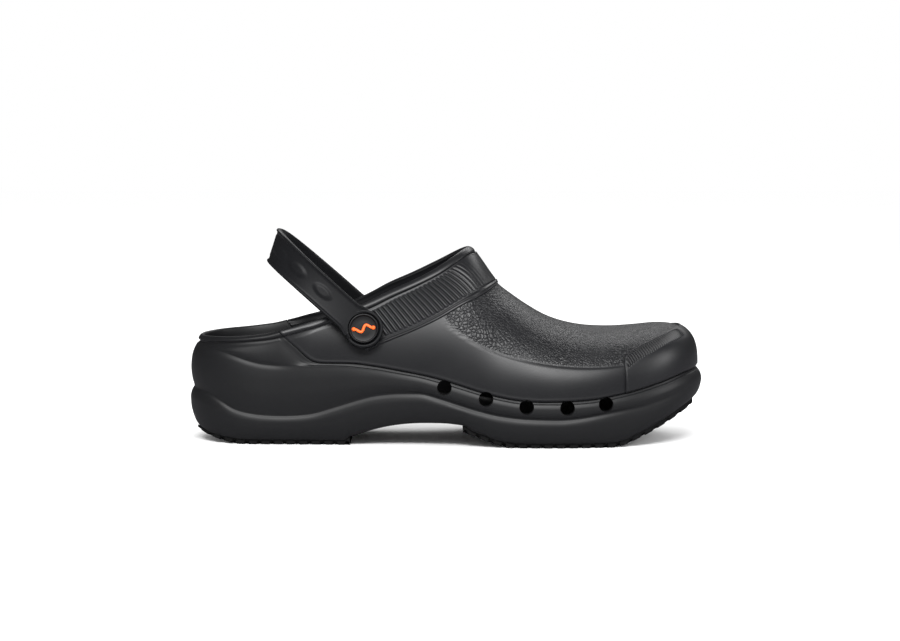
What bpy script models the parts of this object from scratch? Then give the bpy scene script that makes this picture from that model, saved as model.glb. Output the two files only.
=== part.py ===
"""Chef clog, right shoe: a closed-toe foam clog with a heel strap that swivels on two rivets.

The shoe is drawn in millimetres, with x from the back of the heel to the toe, y towards the
medial (inner) side and z up from the floor. It is moved at the end so that the origin lies on the
floor under the middle of the shoe, in metres.
"""
import math

import bmesh
import bpy
from mathutils import Vector

# Driving dimensions, in millimetres and degrees
LENGTH = 290.0            # over all, heel to toe
WIDTH_SHIFT = -1.5        # y of the middle between the widest points
HEEL_TIP = 3.5            # x of the outline's rearmost point at the parting line
TOE_TIP = 286.6           # x of its foremost point
TOE_TIP_Y = 7.0           # the toe points to the medial side
HEEL_ARC = 45.0           # x where the round of the heel ends
LATERAL_ARC = 200.0       # x where the lateral side starts to round to the toe
MEDIAL_ARC = 222.0        # the same on the medial side
ROUNDNESS = 2.3           # power of the heel and toe rounds: 2 is an ellipse, more is squarer
WALL = 3.5                # thickness of the foam wall
GAP = 0.3                 # between two pieces that meet
FAN_START = 205.0         # from here forward the sections of the upper fan out to the toe
FAN_REACH = 24.6          # how far the foot of the foremost section lies before its top
RIM_BACK = 52.0           # x where the parting line reaches the collar rim
BAND_FOOT = 96.0          # x where the lower edge of the collar band reaches the parting line
BAND_RAISE = 1.0          # step of the collar band
BEAD_RAISE = 0.8          # rolled edge of the collar
CAP_BACK = 247.0          # x of the toe cap's rear edge, at its foot
CAP_RAISE = 0.9           # step of the toe cap
CAP_LIFT = 27.0           # degrees up the section of the toe cap's top edge, at its rear end
STEP = 0.8                # length over which a step rises
SOLE_GAP = 0.4            # upright gap between the upper and the sole unit
INSOLE_THICK = 4.0
RUBBER_INSET = 1.6        # rubber plates, inside the parting outline
TREAD_PITCH = 7.0
TREAD_GROOVE = 2.4        # width of a groove
TREAD_DEPTH = 2.6
TREAD_DRAFT = 0.4         # slope of a groove's wall
CHANNEL = 5.0             # width of the lengthwise channel
VENT_RADIUS = 4.0
RIVET_X, RIVET_Z = 99.5, 63.8
EYE_RADIUS = 10.7         # round end of the strap
EYE_THICK = 4.2
HEAD_RADIUS = 8.2         # rivet head, sunk in the eye
HEAD_DEPTH = 1.8
SHANK_RADIUS = 3.4
STRAP_LENGTH = 68.0       # from the rivets to the back of the strap
STRAP_RISE = 41.5         # degrees
STRAP_FLARE = 23.5        # degrees that the band leans outwards at the back
STRAP_THICK = 2.6
STRAP_BEAD = 0.7          # raised edge of the band


class Table:
    """A table with named columns, read between its rows along a smooth curve."""

    def __init__(self, columns, *rows):
        self.columns = dict(zip(columns.split(), zip(*rows)))
        self.x = self.columns["x"]

    def slopes(self, values):
        """Slopes at the rows that never let the curve overshoot."""
        steps = [(values[k + 1] - values[k]) / (self.x[k + 1] - self.x[k]) for k in range(len(values) - 1)]
        inner = [0.0 if a * b <= 0 else 2 * a * b / (a + b) for a, b in zip(steps, steps[1:])]
        return [steps[0]] + inner + [steps[-1]]

    def at(self, column, x):
        """Value of a column at x, held at its end values beyond the rows."""
        values = self.columns[column]
        x = min(max(x, self.x[0]), self.x[-1])
        k = max(i for i in range(len(self.x) - 1) if i == 0 or self.x[i] <= x)
        width = self.x[k + 1] - self.x[k]
        t = (x - self.x[k]) / width
        slopes = self.slopes(values)
        return ((1 + 2 * t) * (1 - t) ** 2 * values[k] + t * (1 - t) ** 2 * width * slopes[k]
                + t * t * (3 - 2 * t) * values[k + 1] + t * t * (t - 1) * width * slopes[k + 1])


# Half widths at the parting line, between the rounds of heel and toe
OUTLINE = Table(
    "x lateral medial",
    (HEEL_ARC, 35.5, 35.5),
    (70, 36.5, 35.4),
    (100, 38.5, 35.4),
    (130, 43.0, 37.5),
    (160, 48.4, 42.2),
    (185, 51.8, 46.4),
    (LATERAL_ARC, 52.5, 48.4),
    (MEDIAL_ARC, 52.5, 49.5))

# Heights of the sole unit: its underside, its lower and upper crease, and the parting line on top
SOLE = Table(
    "x underside crease upper_crease parting",
    (0, 8.9, 31.0, 53.0, 80.0),
    (5, 8.3, 30.5, 52.8, 80.0),
    (13, 6.8, 25.0, 51.6, 80.0),
    (23, 5.6, 20.5, 50.0, 80.0),
    (34, 4.9, 17.5, 46.2, 80.0),
    (RIM_BACK, 4.8, 15.9, 43.8, 62.8),
    (62, 4.8, 15.7, 43.4, 52.3),
    (73, 4.8, 17.6, 43.3, 44.9),
    (91, 4.8, 22.8, 44.2, 45.4),
    (BAND_FOOT, 5.5, 24.4, 43.7, 44.9),
    (102, 7.4, 25.8, 42.9, 44.1),
    (113, 10.8, 27.6, 40.9, 42.3),
    (125, 12.6, 27.9, 38.7, 40.1),
    (141, 13.1, 25.5, 35.6, 37.0),
    (153, 12.4, 21.8, 32.6, 34.0),
    (161, 10.6, 18.9, 30.6, 32.0),
    (170, 7.1, 16.8, 28.3, 29.7),
    (181, 4.9, 15.2, 25.2, 26.6),
    (202, 4.8, 13.4, 23.3, 24.7),
    (222, 4.8, 15.0, 23.4, 24.8),
    (238, 5.0, 17.2, 25.0, 26.4),
    (252, 9.6, 21.0, 28.3, 29.7),
    (267, 16.4, 26.2, 32.8, 34.2),
    (277, 21.6, 30.2, 36.8, 38.4),
    (LENGTH, 27.0, 34.0, 39.0, 40.8))

# Tread face of the rubber, and the floor that the insole lies on
GROUND = Table(
    "x tread floor",
    (4, 7.0, 26.0),
    (13, 3.4, 25.8),
    (22, 1.3, 25.6),
    (34, 0.0, 25.5),
    (62, 0.0, 25.2),
    (91, 0.0, 24.0),
    (120, 4.0, 20.6),
    (150, 8.6, 16.4),
    (158, 6.9, 15.4),
    (170, 2.4, 14.0),
    (182, 0.0, 12.9),
    (210, 0.0, 12.4),
    (238, 0.0, 14.0),
    (252, 4.8, 17.0),
    (264, 10.4, 21.4),
    (275, 16.2, 25.6),
    (TOE_TIP, 22.0, 29.0))

# The collar rim and the lower edge of the collar band, seen from the side
COLLAR = Table(
    "x rim band",
    (0, 58.0, 20.0),
    (12, 58.5, 22.0),
    (28, 59.2, 24.0),
    (45, 61.0, 28.0),
    (RIM_BACK, 62.8, 30.0),
    (60, 65.0, 32.0),
    (73, 69.0, 34.0),
    (90, 74.9, 38.0),
    (BAND_FOOT, 77.2, 44.9),
    (104, 81.0, 54.8),
    (112, 85.3, 58.6),
    (127, 92.0, 64.7),
    (141, 99.0, 71.3),
    (154, 106.4, 78.7),
    (158, 108.0, 80.6),
    (165, 108.4, 83.8),
    (173, 108.6, 88.0),
    (181, 108.8, 92.0))

# Top line of the upper: its height, its place across the shoe, and the fullness of the section.
# Behind the throat, at x 158, the top line only shapes the sides of the collar.
TOP = Table(
    "x crown ridge fullness",
    (RIM_BACK, 98.0, 0.0, 1.95),
    (73, 100.0, 0.0, 1.9),
    (97, 102.0, 0.0, 1.87),
    (112, 104.0, 0.2, 1.85),
    (127, 107.0, 0.4, 1.85),
    (141, 110.0, 0.8, 1.85),
    (150, 110.6, 1.0, 1.85),
    (158, 108.0, 1.3, 1.85),
    (165.5, 98.6, 1.7, 1.87),
    (173, 88.0, 2.1, 1.92),
    (181, 81.8, 2.6, 2.0),
    (192, 74.2, 3.3, 2.12),
    (203, 68.2, 4.0, 2.24),
    (215, 64.5, 4.8, 2.36),
    (226, 62.8, 5.5, 2.46),
    (237, 62.4, 6.1, 2.56),
    (249, 63.2, 6.6, 2.7),
    (262, 64.8, 7.0, 2.85),
    (TOE_TIP, 64.8, 7.0, 3.0))

# Toe cap: how far up the section its top edge lies, in degrees
CAP = Table(
    "x lift",
    (CAP_BACK, CAP_LIFT),
    (253, 37.0),
    (260, 44.0),
    (275, 51.0),
    (TOE_TIP, 60.0))

# Rows of the sole unit's side, each part of the way from one line to the next, and how far it
# stands out of the parting outline at heel, side and toe
SIDE_ROWS = (
    # from, to, part, heel, side, toe
    ("underside", "crease", 0.0, -1.6, -1.6, -2.0),
    ("underside", "crease", 0.18, 1.0, 0.4, 0.6),
    ("underside", "crease", 0.5, 3.0, 2.1, 2.2),
    ("underside", "crease", 0.8, 3.4, 2.4, 3.0),
    ("underside", "crease", 1.0, 1.5, 0.9, 3.3),
    ("crease", "upper_crease", 0.22, 2.2, 1.7, 3.2),
    ("crease", "upper_crease", 0.6, 2.6, 2.2, 2.6),
    ("crease", "upper_crease", 1.0, 0.5, 0.9, 0.9),
    ("upper_crease", "top", 0.55, 0.6, 0.5, 0.5),
    ("upper_crease", "top", 0.8, 0.9, 0.3, 0.3),
    ("upper_crease", "top", 1.0, -0.4, 0.0, 0.0))

# Vent holes along each side
VENTS = Table(
    "x z",
    (144.0, 32.5),
    (167.3, 26.3),
    (190.3, 22.1),
    (213.0, 21.5),
    (235.4, 22.8))


def edge(x, side):
    """Half width of the outline at x: side is -1 for lateral and 1 for medial."""
    name = "lateral" if side < 0 else "medial"
    arc = LATERAL_ARC if side < 0 else MEDIAL_ARC
    if x < HEEL_ARC:
        part = min((HEEL_ARC - x) / (HEEL_ARC - HEEL_TIP), 1.0)
        return side * OUTLINE.at(name, HEEL_ARC) * (1 - part ** ROUNDNESS) ** (1 / ROUNDNESS)
    if x <= arc:
        return side * OUTLINE.at(name, x)
    part = min((x - arc) / (TOE_TIP - arc), 1.0)
    reach = side * OUTLINE.at(name, arc) - TOE_TIP_Y
    return TOE_TIP_Y + reach * (1 - part ** ROUNDNESS) ** (1 / ROUNDNESS)


def spread(start, end, count):
    """Evenly spaced values after start, up to end."""
    return [start + (end - start) * k / count for k in range(1, count + 1)]


BAND_ROWS = (0.3, 0.57, 0.83, 0.92, 1.0)    # parts of the way from the band's edge to the rim
BAND_STATIONS = [BAND_FOOT + (RIM_BACK - BAND_FOOT) * part for part in BAND_ROWS]
MIDDLE_STATIONS = spread(FAN_START, BAND_FOOT, 10)
FAN_STATIONS = spread(CAP_BACK, FAN_START, 4)
CAP_STATIONS = [CAP_BACK + (TOE_TIP - CAP_BACK) * math.cos(math.radians(90 * k / 7)) for k in range(7)]
HEEL_STATIONS = [HEEL_ARC - (HEEL_ARC - HEEL_TIP) * math.sin(math.radians(90 * k / 7)) for k in range(8)]

# Every station from toe to heel where the sole unit has points
STATIONS = CAP_STATIONS + [CAP_BACK] + FAN_STATIONS + MIDDLE_STATIONS + BAND_STATIONS + HEEL_STATIONS


def ring():
    """The outline's points, round the shoe from the toe along the lateral side and back."""
    lateral = [Vector((x, edge(x, -1), 0)) for x in STATIONS]
    medial = [Vector((x, edge(x, 1), 0)) for x in STATIONS[-2:0:-1]]
    return lateral + medial


def outward(points):
    """Level outward direction at each point of the outline."""
    result = []
    for before, after in zip(points[-1:] + points[:-1], points[1:] + points[:1]):
        along = after - before
        result.append(Vector((along.y, -along.x, 0)).normalized() * -1)
    return result


RING = ring()
OUT = outward(RING)


def sole_top(x):
    """Upper edge of the sole unit: the collar rim round the heel, then the parting line."""
    return min(COLLAR.at("rim", x), SOLE.at("parting", x) - SOLE_GAP)


def level(name, x):
    """Height of one of the sole unit's lines."""
    return sole_top(x) if name == "top" else SOLE.at(name, x)


def offset_ring(offset, height):
    """The outline moved outwards by offset(x), each point at height(x)."""
    points = []
    for point, out in zip(RING, OUT):
        moved = point + out * offset(point.x)
        moved.z = height(point.x)
        points.append(moved)
    return points


def material(name, colour, roughness, metallic=0.0):
    """A plain material with the piece's own colour."""
    made = bpy.data.materials.new(name)
    made.use_nodes = True
    shader = made.node_tree.nodes["Principled BSDF"]
    shader.inputs["Base Color"].default_value = (*colour, 1.0)
    shader.inputs["Roughness"].default_value = roughness
    shader.inputs["Metallic"].default_value = metallic
    return made


def solid(name, points, faces, finish):
    """A named object from points in millimetres, its faces turned outwards."""
    mesh = bpy.data.meshes.new(name)
    mesh.from_pydata([place(point) for point in points], [], faces)
    shape = bmesh.new()
    shape.from_mesh(mesh)
    bmesh.ops.recalc_face_normals(shape, faces=shape.faces)
    shape.to_mesh(mesh)
    shape.free()
    mesh.shade_smooth()
    mesh.set_sharp_from_angle(angle=math.radians(40))
    made = bpy.data.objects.new(name, mesh)
    made.data.materials.append(finish)
    bpy.context.scene.collection.objects.link(made)
    return made


def place(point):
    """From millimetres in the shoe's frame to metres about the origin."""
    return (Vector(point) - Vector((LENGTH / 2, WIDTH_SHIFT, 0))) / 1000


def bridge(first, second, count):
    """Quads between two rings of count points that start at these indices."""
    return [(first + k, first + (k + 1) % count, second + (k + 1) % count, second + k) for k in range(count)]


def ladder(first, count):
    """Rungs across a ring that starts and ends its two sides at toe and heel."""
    half = count // 2
    faces = [(first, first + 1, first + count - 1)]
    for k in range(1, half - 1):
        faces.append((first + k, first + k + 1, first + count - k - 1, first + count - k))
    faces.append((first + half - 1, first + half, first + half + 1))
    return faces


def stack(name, rings, finish):
    """A closed solid from rings, one above the other, with a ladder over each end."""
    count = len(RING)
    points = [point for one in rings for point in one]
    faces = ladder(0, count) + ladder(count * (len(rings) - 1), count)
    for k in range(len(rings) - 1):
        faces += bridge(count * k, count * (k + 1), count)
    return solid(name, points, faces, finish)


def cylinder(name, centre, axis, radius, length, sides):
    """A cylinder in millimetres about a centre, along an axis."""
    shape = bmesh.new()
    bmesh.ops.create_cone(shape, cap_ends=True, segments=sides, radius1=radius / 1000,
                          radius2=radius / 1000, depth=length / 1000)
    mesh = bpy.data.meshes.new(name)
    shape.to_mesh(mesh)
    shape.free()
    made = bpy.data.objects.new(name, mesh)
    made.location = place(centre)
    made.rotation_mode = "QUATERNION"
    made.rotation_quaternion = Vector(axis).to_track_quat("Z", "Y")
    made.hide_render = True
    made.display_type = "WIRE"
    bpy.context.scene.collection.objects.link(made)
    return made


def combine(target, tool, operation):
    """Add or cut another solid, as a modifier that stays on the object."""
    modifier = target.modifiers.new(operation.title() + " " + tool.name, "BOOLEAN")
    modifier.object = tool
    modifier.operation = operation
    modifier.solver = "EXACT"


def section(x, lift, side):
    """A point of the upper's plain outer form, on the section with its foot at x.

    Lift turns from 0 degrees at the foot to 90 at the top. Near the toe the sections fan out,
    so their tops lie behind their feet.
    """
    part = max(0.0, (x - FAN_START) / (TOE_TIP - FAN_START))
    top_x = x - FAN_REACH * part ** 2
    foot = Vector((x, edge(x, side), SOLE.at("parting", x)))
    power = 2 / TOP.at("fullness", x)
    out = max(math.cos(math.radians(lift)), 0.0) ** power
    up = math.sin(math.radians(lift)) ** power
    ridge = TOP.at("ridge", top_x)
    return Vector((
        top_x + (foot.x - top_x) * out,
        ridge + (foot.y - ridge) * out,
        foot.z + (TOP.at("crown", top_x) - foot.z) * up))


def meet(lift, line):
    """x where a lengthwise line of the upper meets a line of the collar."""
    back, front = RIM_BACK, FAN_START
    for _ in range(40):
        middle = (back + front) / 2
        if section(middle, lift, -1).z > COLLAR.at(line, middle):
            back = middle
        else:
            front = middle
    return (back + front) / 2


# Lengthwise lines of the upper, in degrees up the section; two lie close at the toe cap's edge
LIFTS = (0.0, 9.0, 18.0, CAP_LIFT, CAP_LIFT + 2, 39.0, 49.0, 59.0, 69.0, 79.0, 90.0)
CAP_LINE = LIFTS.index(CAP_LIFT)


def fan_lift(lift, x):
    """Before the toe cap's rear edge the lengthwise lines bend up to follow its top edge."""
    if x <= CAP_BACK:
        return lift
    top = CAP.at("lift", x)
    if lift <= CAP_LIFT:
        return lift * top / CAP_LIFT
    part = (lift - CAP_LIFT - 2) / (90 - CAP_LIFT - 2)
    return top + 2 + part * (90 - top - 2)


def upper_rows(lift):
    """x, row kind and part of the way for each point along a lengthwise line, toe to collar."""
    band, rim = meet(lift, "band"), meet(lift, "rim")
    rows = [(x, "cap") for x in CAP_STATIONS]
    rows += [(CAP_BACK + STEP, "cap"), (CAP_BACK, "plain")]
    rows += [(x, "plain") for x in sorted(FAN_STATIONS, reverse=True)]
    rows += [(x, "plain") for x in spread(FAN_START, band, len(MIDDLE_STATIONS))]
    rows += [(band + (rim - band) * 0.04, "band")]
    rows += [(band + (rim - band) * part, "bead" if part in (0.92,) else "band") for part in BAND_ROWS]
    return rows


def band_part(x):
    """The band fades out behind the rivets."""
    return min(max((x - 88) / 10, 0.0), 1.0)


def raised(kind, line, x):
    """How far the wall's outside stands out of the plain form."""
    if kind == "cap":
        return CAP_RAISE if line <= CAP_LINE else 0.0
    if kind == "bead":
        return BAND_RAISE * band_part(x) + BEAD_RAISE
    if kind == "band":
        return BAND_RAISE * band_part(x)
    return 0.0


def make_upper(finish):
    """The shell: one grid of points for its outside, one for its inside, joined at the edges."""
    half = len(LIFTS) - 1
    lines = [(lift, -1) for lift in LIFTS] + [(lift, 1) for lift in reversed(LIFTS[:-1])]
    count = len(lines)
    grid, index = [], {}
    for column, (lift, side) in enumerate(lines):
        line = min(column, count - 1 - column)
        for row, (x, kind) in enumerate(upper_rows(lift)):
            if row == 0 and column > half:
                index[row, column] = index[row, count - 1 - column]
                continue
            index[row, column] = len(grid)
            grid.append((section(x, fan_lift(lift, x), side), raised(kind, line, x), line == 0))
    rows = 1 + max(row for row, _ in index)

    faces = []
    for row in range(rows - 1):
        for column in range(count - 1):
            corners = [index[row, column], index[row, column + 1],
                       index[row + 1, column + 1], index[row + 1, column]]
            faces.append(tuple(dict.fromkeys(corners)))
    normals = surface_normals([point for point, _, _ in grid], faces)
    outer, inner = [], []
    for (point, raise_by, at_foot), normal in zip(grid, normals):
        if at_foot:
            normal = Vector((normal.x, normal.y, 0)).normalized()
        outer.append(point + normal * raise_by)
        inner.append(point - normal * WALL)

    loop = [index[row, 0] for row in range(rows)]
    loop += [index[rows - 1, column] for column in range(1, count)]
    loop += [index[row, count - 1] for row in range(rows - 2, 0, -1)]
    shift = len(grid)
    edges = [(a, b, b + shift, a + shift) for a, b in zip(loop, loop[1:] + loop[:1])]
    inside = [tuple(reversed([k + shift for k in face])) for face in faces]
    return solid("upper", outer + inner, faces + inside + edges, finish)


def surface_normals(points, faces):
    """Outward normals of the plain form's grid of points."""
    mesh = bpy.data.meshes.new("plain_form")
    mesh.from_pydata(points, [], faces)
    mesh.update()
    normals = [vertex.normal.copy() for vertex in mesh.vertices]
    bpy.data.meshes.remove(mesh)
    middle = Vector((LENGTH / 2, 0, 0))
    turn = 1 if sum((p - middle).dot(n) for p, n in zip(points, normals)) > 0 else -1
    return [normal * turn for normal in normals]


def blend(x, heel, side, toe):
    """A size that changes from heel to side to toe."""
    if x < HEEL_ARC:
        part = math.sin(math.pi / 2 * (x - HEEL_TIP) / (HEEL_ARC - HEEL_TIP))
        return heel + (side - heel) * part
    part = max(0.0, (x - FAN_START) / (TOE_TIP - FAN_START)) ** 2
    return side + (toe - side) * part


def make_midsole(finish):
    """The sole unit: a tub whose side swells between its creases, with a floor inside."""
    rings = []
    for start, end, part, heel, side, toe in SIDE_ROWS:
        rings.append(offset_ring(
            lambda x: blend(x, heel, side, toe),
            lambda x: level(start, x) + (level(end, x) - level(start, x)) * part))
    rings.append(offset_ring(lambda x: -WALL, sole_top))
    rings.append(offset_ring(lambda x: -WALL - 0.6, lambda x: GROUND.at("floor", x) + 5))
    rings.append(offset_ring(lambda x: -WALL - 2.6, lambda x: GROUND.at("floor", x) + 1))
    rings.append(offset_ring(lambda x: -WALL - 5.0, lambda x: GROUND.at("floor", x)))
    return stack("midsole", rings, finish)


def make_insole(finish):
    """The loose footbed, with a bevelled lower edge that follows the tub's round corner."""
    rings = [
        offset_ring(lambda x: -WALL - 5.4, lambda x: GROUND.at("floor", x) + GAP),
        offset_ring(lambda x: -WALL - 3.1, lambda x: GROUND.at("floor", x) + GAP + 1.1),
        offset_ring(lambda x: -WALL - 2.0, lambda x: GROUND.at("floor", x) + GAP + 3.2),
        offset_ring(lambda x: -WALL - 2.6, lambda x: GROUND.at("floor", x) + GAP + INSOLE_THICK)]
    return stack("insole", rings, finish)


def tread_rows(back, front, first_groove):
    """x of each row of a rubber plate, and whether its tread face is cut away there."""
    rows = [(back, False)]
    x = first_groove
    while x + TREAD_GROOVE / 2 + 2 < front:
        low, high = x - TREAD_GROOVE / 2, x + TREAD_GROOVE / 2
        rows += [(low, False), (low + TREAD_DRAFT, True), (high - TREAD_DRAFT, True), (high, False)]
        x += TREAD_PITCH
    return rows + [(front, False)]


def make_outsole(name, back, front, first_groove, finish):
    """A rubber plate: cross bars between grooves, with a channel along the middle."""
    points, faces = [], []
    rows = tread_rows(back, front, first_groove)
    for x, cut in rows:
        top = SOLE.at("underside", x) - GAP
        low = GROUND.at("tread", x)
        depth = min(TREAD_DEPTH, (top - low) * 0.6)
        face = low + depth if cut else low
        channel = low + depth + 0.3
        lateral = edge(x, -1) + min(RUBBER_INSET, abs(edge(x, -1)) / 2)
        medial = edge(x, 1) - min(RUBBER_INSET, abs(edge(x, 1)) / 2)
        middle = (lateral + medial) / 2
        half = min(CHANNEL / 2, (medial - lateral) / 6)
        points += [
            Vector((x, lateral, face)), Vector((x, middle - half, face)),
            Vector((x, middle - half, channel)), Vector((x, middle + half, channel)),
            Vector((x, middle + half, face)), Vector((x, medial, face)),
            Vector((x, medial, top)), Vector((x, lateral, top))]
    size = 8
    for k in range(len(rows) - 1):
        faces += bridge(size * k, size * (k + 1), size)
    faces += [tuple(range(size)), tuple(range(size * (len(rows) - 1), size * len(rows)))]
    return solid(name, points, faces, finish)


def wall_at(side):
    """Lift and outside point of the upper at the rivet."""
    low, high = 0.0, 90.0
    for _ in range(40):
        lift = (low + high) / 2
        if section(RIVET_X, lift, side).z < RIVET_Z:
            low = lift
        else:
            high = lift
    return lift, section(RIVET_X, lift, side)


def rivet_axis(side):
    """Outward direction square to the wall at the rivet, with no part along the shoe."""
    lift, _ = wall_at(side)
    rise = section(RIVET_X, lift + 3, side) - section(RIVET_X, lift - 3, side)
    return Vector((0, side * rise.z, -side * rise.y)).normalized()


def wall_reach(side, radius, inside):
    """Distances from the rivet's point to the nearest and farthest of the wall, along its axis."""
    lift, centre = wall_at(side)
    axis = rivet_axis(side)
    reaches = []
    for step_x in (-1, -0.7, 0, 0.7, 1):
        for step_lift in (-1, -0.7, 0, 0.7, 1):
            if abs(step_x) + abs(step_lift) <= 1.5:
                x = RIVET_X + radius * step_x
                span = (section(x, lift + 1, side) - section(x, lift, side)).length
                point = section(x, lift + radius * step_lift / span, side)
                reaches.append((point - centre).dot(axis))
    return min(reaches) - WALL - GAP if inside else max(reaches) + BAND_RAISE + GAP


def eye_seat(side):
    """Point on the rivet's axis where the inner face of the strap's eye lies."""
    _, centre = wall_at(side)
    return centre + rivet_axis(side) * wall_reach(side, EYE_RADIUS, False)


def strap_frame(angle):
    """Middle, outward and upright direction of the strap at an angle from its back."""
    rise = math.radians(STRAP_RISE)
    back = Vector((-math.cos(rise), 0, math.sin(rise)))
    up = Vector((math.sin(rise), 0, math.cos(rise)))
    side = -1 if angle < 0 else 1
    seat = eye_seat(side) + rivet_axis(side) * (STRAP_THICK / 2 + 0.6)
    power = 2 / ROUNDNESS
    along = math.cos(math.radians(angle)) ** power * STRAP_LENGTH
    across = abs(math.sin(math.radians(angle))) ** power
    middle = eye_middle()
    centre = Vector((RIVET_X, middle + (seat.y - middle) * across,
                     RIVET_Z + (seat.z - RIVET_Z) * across)) + back * along
    share = math.cos(math.radians(angle)) ** 2
    lean = math.radians(STRAP_FLARE) * share
    eye_lean = math.asin(abs(rivet_axis(side).z)) * (1 - share)
    out = strap_out(angle, back, side)
    tilt = lean - eye_lean
    return centre, out * math.cos(tilt) - up * math.sin(tilt), up * math.cos(tilt) + out * math.sin(tilt)


def strap_out(angle, back, side):
    """Outward direction in the strap's own plane, square to its curve."""
    power = 2 / ROUNDNESS
    turn = math.radians(min(abs(angle), 89.9))
    along = math.cos(turn) ** (2 - power)
    across = math.sin(turn) ** (2 - power) * STRAP_LENGTH / abs(eye_seat(side).y - eye_middle())
    return (back * along + Vector((0, side, 0)) * across).normalized()


def eye_middle():
    """y halfway between the two eyes."""
    return (eye_seat(-1).y + eye_seat(1).y) / 2


# Cross-section of the strap: part of the half width, and distance out of its middle surface
STRAP_SECTION = (
    (-1.0, -STRAP_THICK / 2 + 0.3),
    (-1.0, STRAP_THICK / 2 + STRAP_BEAD - 0.4),
    (-0.86, STRAP_THICK / 2 + STRAP_BEAD),
    (-0.7, STRAP_THICK / 2),
    (0.7, STRAP_THICK / 2),
    (0.86, STRAP_THICK / 2 + STRAP_BEAD),
    (1.0, STRAP_THICK / 2 + STRAP_BEAD - 0.4),
    (1.0, -STRAP_THICK / 2 + 0.3),
    (0.7, -STRAP_THICK / 2),
    (-0.7, -STRAP_THICK / 2))


def make_strap(finish):
    """The band swept from eye to eye, with a round eye joined to each end and bored."""
    points, faces = [], []
    angles = [-88 + 176 * k / 28 for k in range(29)]
    for angle in angles:
        centre, out, up = strap_frame(angle)
        half = 8.5 + 1.25 * math.cos(math.radians(angle)) ** 4
        points += [centre + up * half * part + out * depth for part, depth in STRAP_SECTION]
    size = len(STRAP_SECTION)
    for k in range(len(angles) - 1):
        faces += bridge(size * k, size * (k + 1), size)
    faces += [tuple(range(size)), tuple(range(size * (len(angles) - 1), size * len(angles)))]
    strap = solid("heel_strap", points, faces, finish)
    for side, word in ((-1, "lateral"), (1, "medial")):
        axis, seat = rivet_axis(side), eye_seat(side)
        eye = cylinder("eye_" + word, seat + axis * EYE_THICK / 2, axis, EYE_RADIUS, EYE_THICK, 36)
        sink = cylinder("sink_" + word, seat + axis * (EYE_THICK + 5 - HEAD_DEPTH), axis,
                        HEAD_RADIUS + GAP, 10, 36)
        bore = cylinder("bore_" + word, seat, axis, SHANK_RADIUS + GAP, 30, 20)
        combine(strap, eye, "UNION")
        combine(strap, sink, "DIFFERENCE")
        combine(strap, bore, "DIFFERENCE")
    return strap


def make_rivet(word, side, upper, finish):
    """A turned plug: a shallow domed head in the eye, a shank and a flat head inside the wall."""
    axis, seat = rivet_axis(side), eye_seat(side)
    _, centre = wall_at(side)
    inner = wall_reach(side, 6.5, True) - (seat - centre).dot(axis)
    under_head = EYE_THICK - HEAD_DEPTH + GAP
    profile = (
        (0.0, EYE_THICK + 0.3),
        (HEAD_RADIUS * 0.6, EYE_THICK + 0.2),
        (HEAD_RADIUS - 0.6, EYE_THICK - 0.1),
        (HEAD_RADIUS, EYE_THICK - 0.6),
        (HEAD_RADIUS, under_head),
        (SHANK_RADIUS, under_head),
        (SHANK_RADIUS, inner),
        (6.5, inner),
        (6.5, inner - 1.0),
        (5.6, inner - 1.6),
        (0.0, inner - 1.6))
    shape = bmesh.new()
    line = [shape.verts.new((radius / 1000, 0, height / 1000)) for radius, height in profile]
    edges = [shape.edges.new(pair) for pair in zip(line, line[1:])]
    bmesh.ops.spin(shape, geom=line + edges, axis=(0, 0, 1), cent=(0, 0, 0), steps=28,
                   angle=2 * math.pi, use_merge=True)
    bmesh.ops.remove_doubles(shape, verts=shape.verts, dist=0.00001)
    bmesh.ops.recalc_face_normals(shape, faces=shape.faces)
    mesh = bpy.data.meshes.new("rivet_" + word)
    shape.to_mesh(mesh)
    shape.free()
    mesh.shade_smooth()
    mesh.set_sharp_from_angle(angle=math.radians(35))
    made = bpy.data.objects.new("rivet_" + word, mesh)
    made.location = place(seat)
    made.rotation_mode = "QUATERNION"
    made.rotation_quaternion = axis.to_track_quat("Z", "Y")
    made.data.materials.append(finish)
    bpy.context.scene.collection.objects.link(made)
    combine(upper, cylinder("hole_" + word, seat, axis, SHANK_RADIUS + GAP, 30, 20), "DIFFERENCE")


def main():
    for old in list(bpy.data.objects):
        bpy.data.objects.remove(old, do_unlink=True)
    foam = material("foam", (0.018, 0.019, 0.022), 0.42)
    smooth_foam = material("smooth_foam", (0.016, 0.017, 0.019), 0.5)
    rubber = material("rubber", (0.012, 0.012, 0.012), 0.75)
    fabric = material("footbed_fabric", (0.03, 0.03, 0.032), 0.9)
    plug = material("rivet_plastic", (0.012, 0.012, 0.013), 0.3)

    upper = make_upper(foam)
    midsole = make_midsole(smooth_foam)
    make_insole(fabric)
    make_outsole("outsole_heel", 4.6, 91.5, 10.0, rubber)
    make_outsole("outsole_forefoot", 154.0, 283.6, 160.0, rubber)
    make_strap(foam)
    for word, side in (("lateral", -1), ("medial", 1)):
        make_rivet(word, side, upper, plug)
    for x, z in zip(VENTS.x, VENTS.columns["z"]):
        vent = cylinder("vent_%d" % x, (x, 0, z), (0, 1, 0), VENT_RADIUS, 130, 20)
        combine(midsole, vent, "DIFFERENCE")
        combine(upper, vent, "DIFFERENCE")


main()
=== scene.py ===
# %% [markdown]
# # A chef's clog, dressed in Blender
#
# A chef's clog is a shoe without laces: one foam shell, a foam sole unit that rises round the
# heel, two rubber treads and a strap that turns on two rivets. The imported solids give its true
# sizes. This lesson rebuilds each skin finely enough for close light, in the same frame.
#
# Everything is drawn in millimetres, with x from the back of the heel to the toe, y to the
# inner side of the foot and z up. One function moves a point from there into the frame.

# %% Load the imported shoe
import math

import bpy
import numpy as np
from mathutils import Matrix, Vector


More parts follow.
